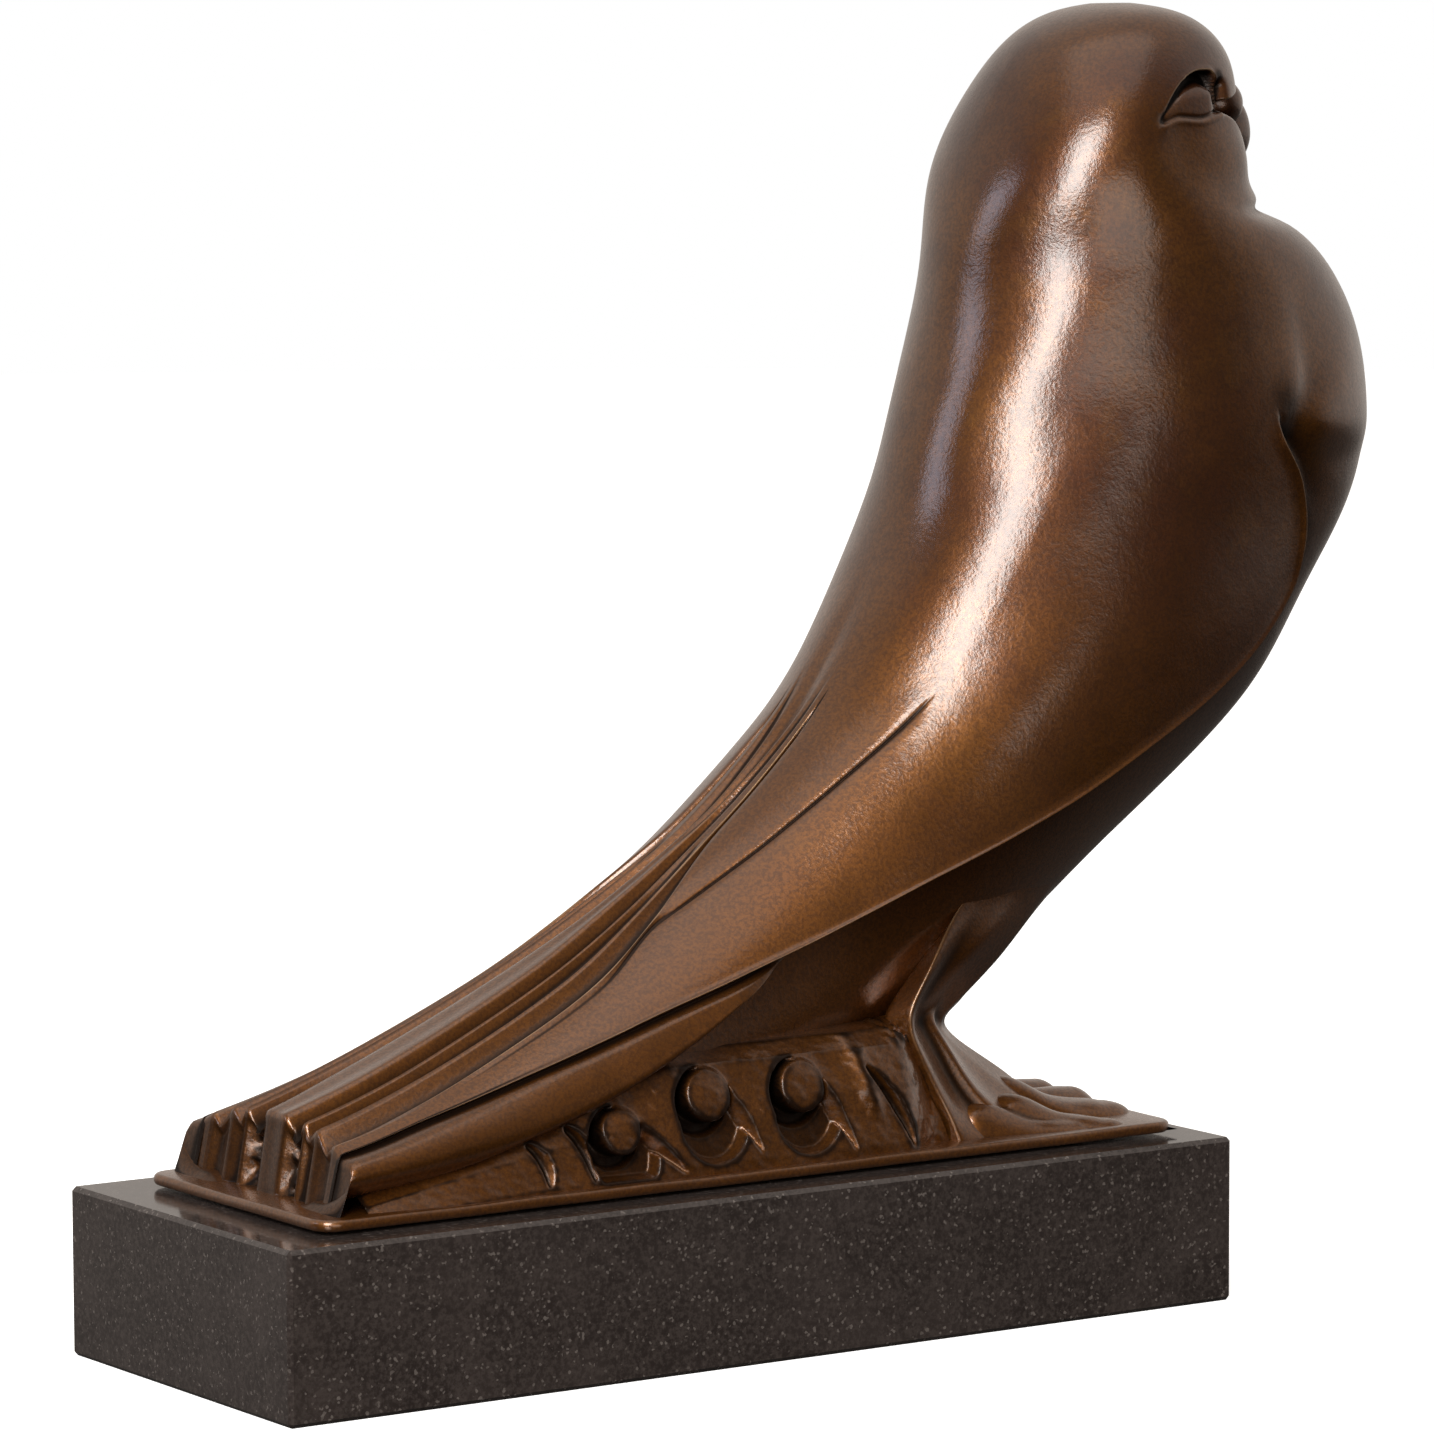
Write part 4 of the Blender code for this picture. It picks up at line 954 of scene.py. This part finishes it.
# Carved ground under the belly and the tail, in drawn lengths: its rear end, how much of its height is left
# there and where it has all of it, and its front end, which leans, and sinks back as raw metal
GROUND_REAR, GROUND_REAR_SHARE, GROUND_TAPER_END = -102.0, 0.19, -20.0
GROUND_FRONT_TOP, GROUND_FRONT_SLOPE, GROUND_TOP = 50.0, 0.35, 32.0
GROUND_FRONT_TAPER, GROUND_FRONT_SINK = (44.0, 57.0), 6.5
GROUND_RAW, GROUND_CARVED = (44, 50), (50, 46)

# Its section, as row, distance off the mid-plane and height, and the rows of its net
GROUND_SECTION = ((0.0, 38.5, 1.2), (0.14, 38.2, 5.5), (0.55, 35.5, 18.0), (0.86, 32.0, 27.5),
                  (1.0, 28.5, 31.0), (1.15, 22.0, 32.0), (1.6, 0.0, 32.0))
GROUND_COLUMNS = 400
GROUND_SIDE_ROWS = 92
GROUND_TOP_ROWS = 8
CREST_ROW, TOP_ROW, MIDDLE_ROW = 1.15, 1.2, 1.6
# Rows of the relief and of the unevenness, and the painted shade along the ground's top under the belly with
# its rows
RELIEF_ROWS, UNEVEN_ROWS, CREST_SHADE, CREST_SHADE_ROWS = (1.25, 1.0), (1.6, 1.1), 0.8, (1.03, 1.2)

# Unevenness of the casting, as height with wavelength and seed, and the rough crest at the front with the
# places and heights where it starts
CAST_WAVES = ((0.16, (9.0, 11)), (0.05, (2.5, 12)))
CREST_ROUGH, CREST_RIPPLE = 0.7, (3.0, 13)
CREST_ROUGH_X, CREST_ROUGH_Z = (40, 46), (24, 30)

# Shallow flutes with where they fade, and a leaning rib by the front
FLUTE, FLUTE_START, FLUTE_LENGTH = 0.5, 2.0, 4.14
FLUTE_FOOT, FLUTE_FRONT, FLUTE_REAR = (10, 22), (52, 30), (-60, -40)
RIB, RIB_PLACE, RIB_LEAN, RIB_SPREAD, RIB_FOOT = 1.1, (33.0, 24), 0.25, 2.4, (8, 18)

# Bosses, as place and radius, with the tip of the dart of each, the cup behind and below each boss, the
# dart from it and the deep crescent round it
DISCS = ((-34.5, 14.8, 5.4), (-10.0, 20.8, 6.2), (16.0, 20.6, 6.2))
DART_TIPS = ((-17.5, 4.1), (3.4, 6.9), (29.5, 4.8))
CUP_PLACE, CUP_WIDER, CUP_RIM = (1.0, -5.4), (3.2, 4.1), (1.0, 0.88)
CUP_DEPTH, CUP_WALL, CUP_FLATTENS = 3.4, 2.8, 0.6
# Painted shade with black patina in the cups and the crescents; each boss's top is left bare of it
CUP_SHADE, CUP_SHADE_DEPTHS = 0.62, (0.5, 1.0)
DART_ROOT, DART_BOW, DART_WIDTH = (0.95, 0.35), -0.9, (5.0, 0.6)
DART_START, DART_END = (-0.05, 0.05), (1.0, 0.97)
CRESCENT_PLACE, CRESCENT_WIDER, CRESCENT_DEPTH = (-1.1, -1.6), (1.8, 1.2), 5.6
BOSS_WALL, BOSS_RISE, BOSS_FALL, BOSS_BARE = (0.25, -0.20), 0.9, 0.5, 0.7
BOSS_UNEVEN, BOSS_RIPPLE = 0.08, (6, 8)

# Leaf cuts, each from one point to another, with its half-width and depth
LEAVES = ((-48.5, 17.2, -42.2, 4.3, 2.0, 2.6), (-58.9, 14.2, -54.5, 4.1, 1.8, 2.2),
          (34.0, 23.8, 46.2, 3.6, 1.7, 2.4))
LEAF_BOW, LEAF_LEAST, LEAF_WALL = -1.8, 0.05, (-1, -0.6)
# Painted shade with black patina on the floor and the steep wall of each leaf cut
LEAF_SHADE, LEAF_SHADE_ENDS, LEAF_SHADE_FLOOR, LEAF_SHADE_WALL = 0.9, (0.1, 0.4), (0.7, 0.0), (-1, -0.7)
SLAB_WALL = (4.8, 3.8)


def ground_relief(x, z):
    """Carving of the ground's side: round bosses over deep crescents and scooped cups, each cup running out
    to its right in a pointed dart, and leaf cuts at both ends. Its second value is how dark it is painted:
    painted shade with black patina in the crescents, cups and leaf cuts."""
    rise = FLUTE * np.sin((x - FLUTE_START) / FLUTE_LENGTH) * ramp(z, *FLUTE_FOOT)
    rise = rise * ramp(x, *FLUTE_FRONT) * ramp(x, *FLUTE_REAR)
    rise = rise + swell(x, RIB, RIB_PLACE[0] - (z - RIB_PLACE[1]) * RIB_LEAN, RIB_SPREAD) * ramp(z, *RIB_FOOT)
    black = np.zeros_like(x)
    for (cx, cz, radius), tip in zip(DISCS, DART_TIPS):
        cup = np.hypot((x - cx - CUP_PLACE[0]) / (radius + CUP_WIDER[0]),
                       (z - cz - CUP_PLACE[1]) / (radius + CUP_WIDER[1]))
        root = (cx + radius * DART_ROOT[0], cz + radius * DART_ROOT[1])
        share, off = along_line(x, z, *root, *tip, bow=DART_BOW)
        within = -off < DART_WIDTH[0] * (1 - share) + DART_WIDTH[1]
        dart = ramp(share, *DART_START) * ramp(share, *DART_END) * within
        sunk = np.maximum(ramp(cup, *CUP_RIM), dart) * np.clip(-off / CUP_WALL, 0, 1) * (share < 1.0)
        rise = rise * (1 - CUP_FLATTENS * sunk) - CUP_DEPTH * sunk
        black = np.maximum(black, CUP_SHADE * ramp(sunk, *CUP_SHADE_DEPTHS))
        moat = ramp(np.hypot(x - cx - CRESCENT_PLACE[0], z - cz - CRESCENT_PLACE[1]),
                    radius + CRESCENT_WIDER[0], radius + CRESCENT_WIDER[1])
        rise = rise * (1 - moat) + moat * np.minimum(rise, -CRESCENT_DEPTH)
        out = np.hypot(x - cx, z - cz)
        boss = ramp(out, radius + BOSS_WALL[0], radius + BOSS_WALL[1])
        black = np.maximum(black, moat) * (1 - ramp(out, radius, radius - BOSS_BARE))
        crown = BOSS_RISE - BOSS_FALL * (out / radius) ** 3
        crown = crown + BOSS_UNEVEN * ripple(x, z, np.zeros_like(x), *BOSS_RIPPLE)
        rise = rise * (1 - boss) + boss * crown
    for x0, z0, x1, z1, half, depth in LEAVES:
        share, off = along_line(x, z, x0, z0, x1, z1, bow=LEAF_BOW)
        body = np.sqrt(np.clip(share * (1 - share) * 4, 0, 1))
        side = np.clip(off / np.maximum(half * body, LEAF_LEAST), -1, 1)
        rise = rise - depth * body * np.where(side > 0, 1 - side, ramp(side, *LEAF_WALL))
        shade = np.where(side > 0, ramp(side, *LEAF_SHADE_FLOOR), ramp(side, *LEAF_SHADE_WALL))
        black = np.maximum(black, LEAF_SHADE * ramp(body, *LEAF_SHADE_ENDS) * shade)
    slab = ramp(z, *SLAB_WALL)
    return rise * (1 - slab), black * (1 - slab)


def ground_form(column, row):
    section = np.array(GROUND_SECTION)
    y = np.interp(row, section[:, 0], section[:, 1])
    z = np.interp(row, section[:, 0], section[:, 2])
    front = GROUND_FRONT_TOP + (GROUND_TOP - z) * GROUND_FRONT_SLOPE
    x = GROUND_REAR + (front - GROUND_REAR) * column
    tall = GROUND_REAR_SHARE + (1 - GROUND_REAR_SHARE) * np.clip(
        (x - GROUND_REAR) / (GROUND_TAPER_END - GROUND_REAR), 0, 1)
    z = FOOT_ROOT + (z - FOOT_ROOT) * tall
    relief, black = ground_relief(x, z)
    carved = ramp(x, *GROUND_CARVED)
    uneven = sum(height * ripple(x, y, z, *wave) for height, wave in CAST_WAVES)
    out = relief * ramp(row, *RELIEF_ROWS) * carved + uneven * (1 + ramp(x, *GROUND_RAW))
    out = out - GROUND_FRONT_SINK * ramp(x, *GROUND_FRONT_TAPER)
    y = y + out * ramp(row, *UNEVEN_ROWS)
    rough = ramp(x, *CREST_ROUGH_X) * ramp(z, *CREST_ROUGH_Z)
    z = z + rough * CREST_ROUGH * ripple(x, y, z, *CREST_RIPPLE)
    # Painted shade along the ground's top, under the belly, with the black of the carving
    recess = np.maximum(black, CREST_SHADE * ramp(row, *CREST_SHADE_ROWS)) * carved
    return x, -np.maximum(y, 0), z, recess


def carved_ground():
    rows = np.concatenate((np.linspace(0, CREST_ROW, GROUND_SIDE_ROWS),
                           np.linspace(TOP_ROW, MIDDLE_ROW, GROUND_TOP_ROWS)))
    mesh = flat_net(np.linspace(0, 1, GROUND_COLUMNS), rows)
    lay(mesh, ground_form)
    soften(mesh, 1)
    mirrored(mesh, SEAM_MERGE)
    close_rims(mesh)
    return mesh


finished("carved_ground", carved_ground(), "pigeon", BRONZE)

# Ground plate: a thin cast sheet with uneven edges, in drawn lengths. Its edges waver in waves, each with
# its share, its length along the piece and its length across, and its rims stray by a share of them
PLATE_REAR, PLATE_FRONT, PLATE_HALF = -116.0, 121.0, 40.5
PLATE_THICKNESS = 3.2
PLATE_GAP = 0.5
PLATE_CORNER, PLATE_ROUNDING = 6.0, 1.1
PLATE_LONG_EDGE, PLATE_CUTS = 20, 60
PLATE_WAVES = ((0.5, 13, 29), (0.3, 5.3, 11 / 1.7))
PLATE_RIM_POWER = 6
PLATE_STRAY_X, PLATE_STRAY_Y, PLATE_STRAY_TOP, PLATE_STRAY_FOOT = 0.4, 0.010, 0.28, 0.20


def ground_plate():
    mesh = bmesh.new()
    bmesh.ops.create_cube(mesh, size=1.0)
    size = Vector((PLATE_FRONT - PLATE_REAR, 2 * PLATE_HALF, PLATE_THICKNESS - PLATE_GAP))
    for vert in mesh.verts:
        vert.co = (vert.co.x * size.x, vert.co.y * size.y, vert.co.z * size.z)
    uprights = [edge for edge in mesh.edges if edge.verts[0].co.xy == edge.verts[1].co.xy]
    bmesh.ops.bevel(mesh, geom=uprights, offset=PLATE_CORNER, segments=8, profile=0.5,
                    affect="EDGES", clamp_overlap=True, material=-1)
    level = [edge for edge in mesh.edges if edge.verts[0].co.z == edge.verts[1].co.z]
    bmesh.ops.bevel(mesh, geom=level, offset=PLATE_ROUNDING, segments=4, profile=0.5,
                    affect="EDGES", clamp_overlap=True, material=-1)
    long_edges = [edge for edge in mesh.edges if edge.calc_length() > PLATE_LONG_EDGE]
    bmesh.ops.subdivide_edges(mesh, edges=long_edges, cuts=PLATE_CUTS, use_grid_fill=True)
    bmesh.ops.triangulate(mesh, faces=[face for face in mesh.faces if len(face.verts) > 4])
    middle = (PLATE_FRONT + PLATE_REAR) / 2
    for vert in mesh.verts:
        x, y, z = vert.co.x + middle, vert.co.y, vert.co.z + (PLATE_THICKNESS + PLATE_GAP) / 2
        wave = sum(share * math.sin(x / along + y / across) for share, along, across in PLATE_WAVES)
        rim = max(abs(y) / PLATE_HALF, abs(x - middle) / (size.x / 2)) ** PLATE_RIM_POWER
        stray = PLATE_STRAY_TOP if z > PLATE_THICKNESS / 2 else PLATE_STRAY_FOOT
        vert.co = (x + math.copysign(PLATE_STRAY_X, x - middle) * wave * rim, y * (1 + PLATE_STRAY_Y * wave),
                   z + stray * wave * rim)
        vert.co = vert.co * DRAWN_MM + Vector((0, 0, DRAWN_FLOOR))
    return mesh


finished("ground_plate", ground_plate(), "pigeon", BRONZE)

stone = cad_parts["stone_base"]
stone.data.materials.clear()
stone.data.materials.append(GRANITE)

# Studio: white paper floor, a tall soft light beside the camera, a weak low one in front, a cool window far
# to the left, a wide soft light overhead and pale surroundings behind the piece
FLOOR_RADIUS = 4.0
AIM = Vector((0.02, 0.0, 0.16))
LIGHTS = (
    ("tall_key", -47, 28, 2.2, 0.72, 1.8, 64, (1.0, 0.98, 0.95)),
    ("low_fill", -12, 2, 2.2, 1.3, 0.8, 7, (1.0, 0.92, 0.84)),
    ("cool_window", -108, 22, 2.0, 0.60, 0.60, 4, (0.78, 0.82, 1.0)),
    ("overhead", -40, 78, 2.0, 1.6, 1.2, 4.5, (1.0, 0.97, 0.94)),
)

# The room is brightest the given way from the piece, and dim under the level of the piece
ROOM_WAY = (0.55, 0.80, 0.25)
ROOM_RANGES = {"behind": ("away", -0.40, 0.35, 0.05, 0.60), "above": ("level", -0.30, 0.02, 0.10, 1)}
ROOM_PAIRS = {"pale": ("MULTIPLY", "behind", "above")}
ROOM_COLOUR = (1.0, 0.91, 0.83, 1.0)


def studio_floor():
    """The floor neither mirrors in the piece nor lights it from below."""
    mesh = bmesh.new()
    bmesh.ops.create_circle(mesh, cap_ends=True, segments=96, radius=FLOOR_RADIUS)
    data = bpy.data.meshes.new("floor")
    mesh.to_mesh(data)
    mesh.free()
    data.materials.append(pale_paper())
    floor = bpy.data.objects.new("floor", data)
    floor.visible_glossy = False
    floor.visible_diffuse = False
    bpy.context.scene.collection.objects.link(floor)


def soft_light(name, turn, rise, distance, width, height, power, colour):
    """Area light seen from the piece at a turn from -Y towards +X and a rise above the floor, in degrees."""
    turn, rise = math.radians(turn), math.radians(rise)
    way = Vector((math.sin(turn) * math.cos(rise), -math.cos(turn) * math.cos(rise), math.sin(rise)))
    data = bpy.data.lights.new(name, "AREA")
    data.shape = "RECTANGLE"
    data.size = width
    data.size_y = height
    data.energy = power
    data.color = colour
    light = bpy.data.objects.new(name, data)
    turned = way.to_track_quat("Z", "Y").to_matrix().to_4x4()
    light.matrix_world = Matrix.Translation(AIM + way * distance) @ turned
    bpy.context.scene.collection.objects.link(light)


def surroundings():
    """Pale room behind and above the piece, dim on the camera's side. The camera itself sees plain white."""
    world = bpy.data.worlds.new("studio")
    bpy.context.scene.world = world
    world.use_nodes = True
    tree = world.node_tree
    tree.nodes.clear()
    way = add(tree, "ShaderNodeTexCoord").outputs["Generated"]
    away = add(tree, "ShaderNodeVectorMath", {0: way, 1: ROOM_WAY}, operation="DOT_PRODUCT")
    value = {"away": away.outputs["Value"],
             "level": add(tree, "ShaderNodeSeparateXYZ", {"Vector": way}).outputs["Z"]}
    read_values(tree, value, way, {}, ROOM_RANGES, ROOM_PAIRS)
    room = add(tree, "ShaderNodeBackground", {"Color": ROOM_COLOUR, "Strength": value["pale"]})
    seen = add(tree, "ShaderNodeBackground", {"Color": linear("FFFFFF"), "Strength": 1.0})
    ray = add(tree, "ShaderNodeLightPath").outputs["Is Camera Ray"]
    mix = add(tree, "ShaderNodeMixShader", {0: ray, 1: room.outputs[0], 2: seen.outputs[0]})
    add(tree, "ShaderNodeOutputWorld", {"Surface": mix.outputs[0]})


studio_floor()
for light in LIGHTS:
    soft_light(*light)
surroundings()
bpy.context.scene.view_settings.view_transform = "Standard"
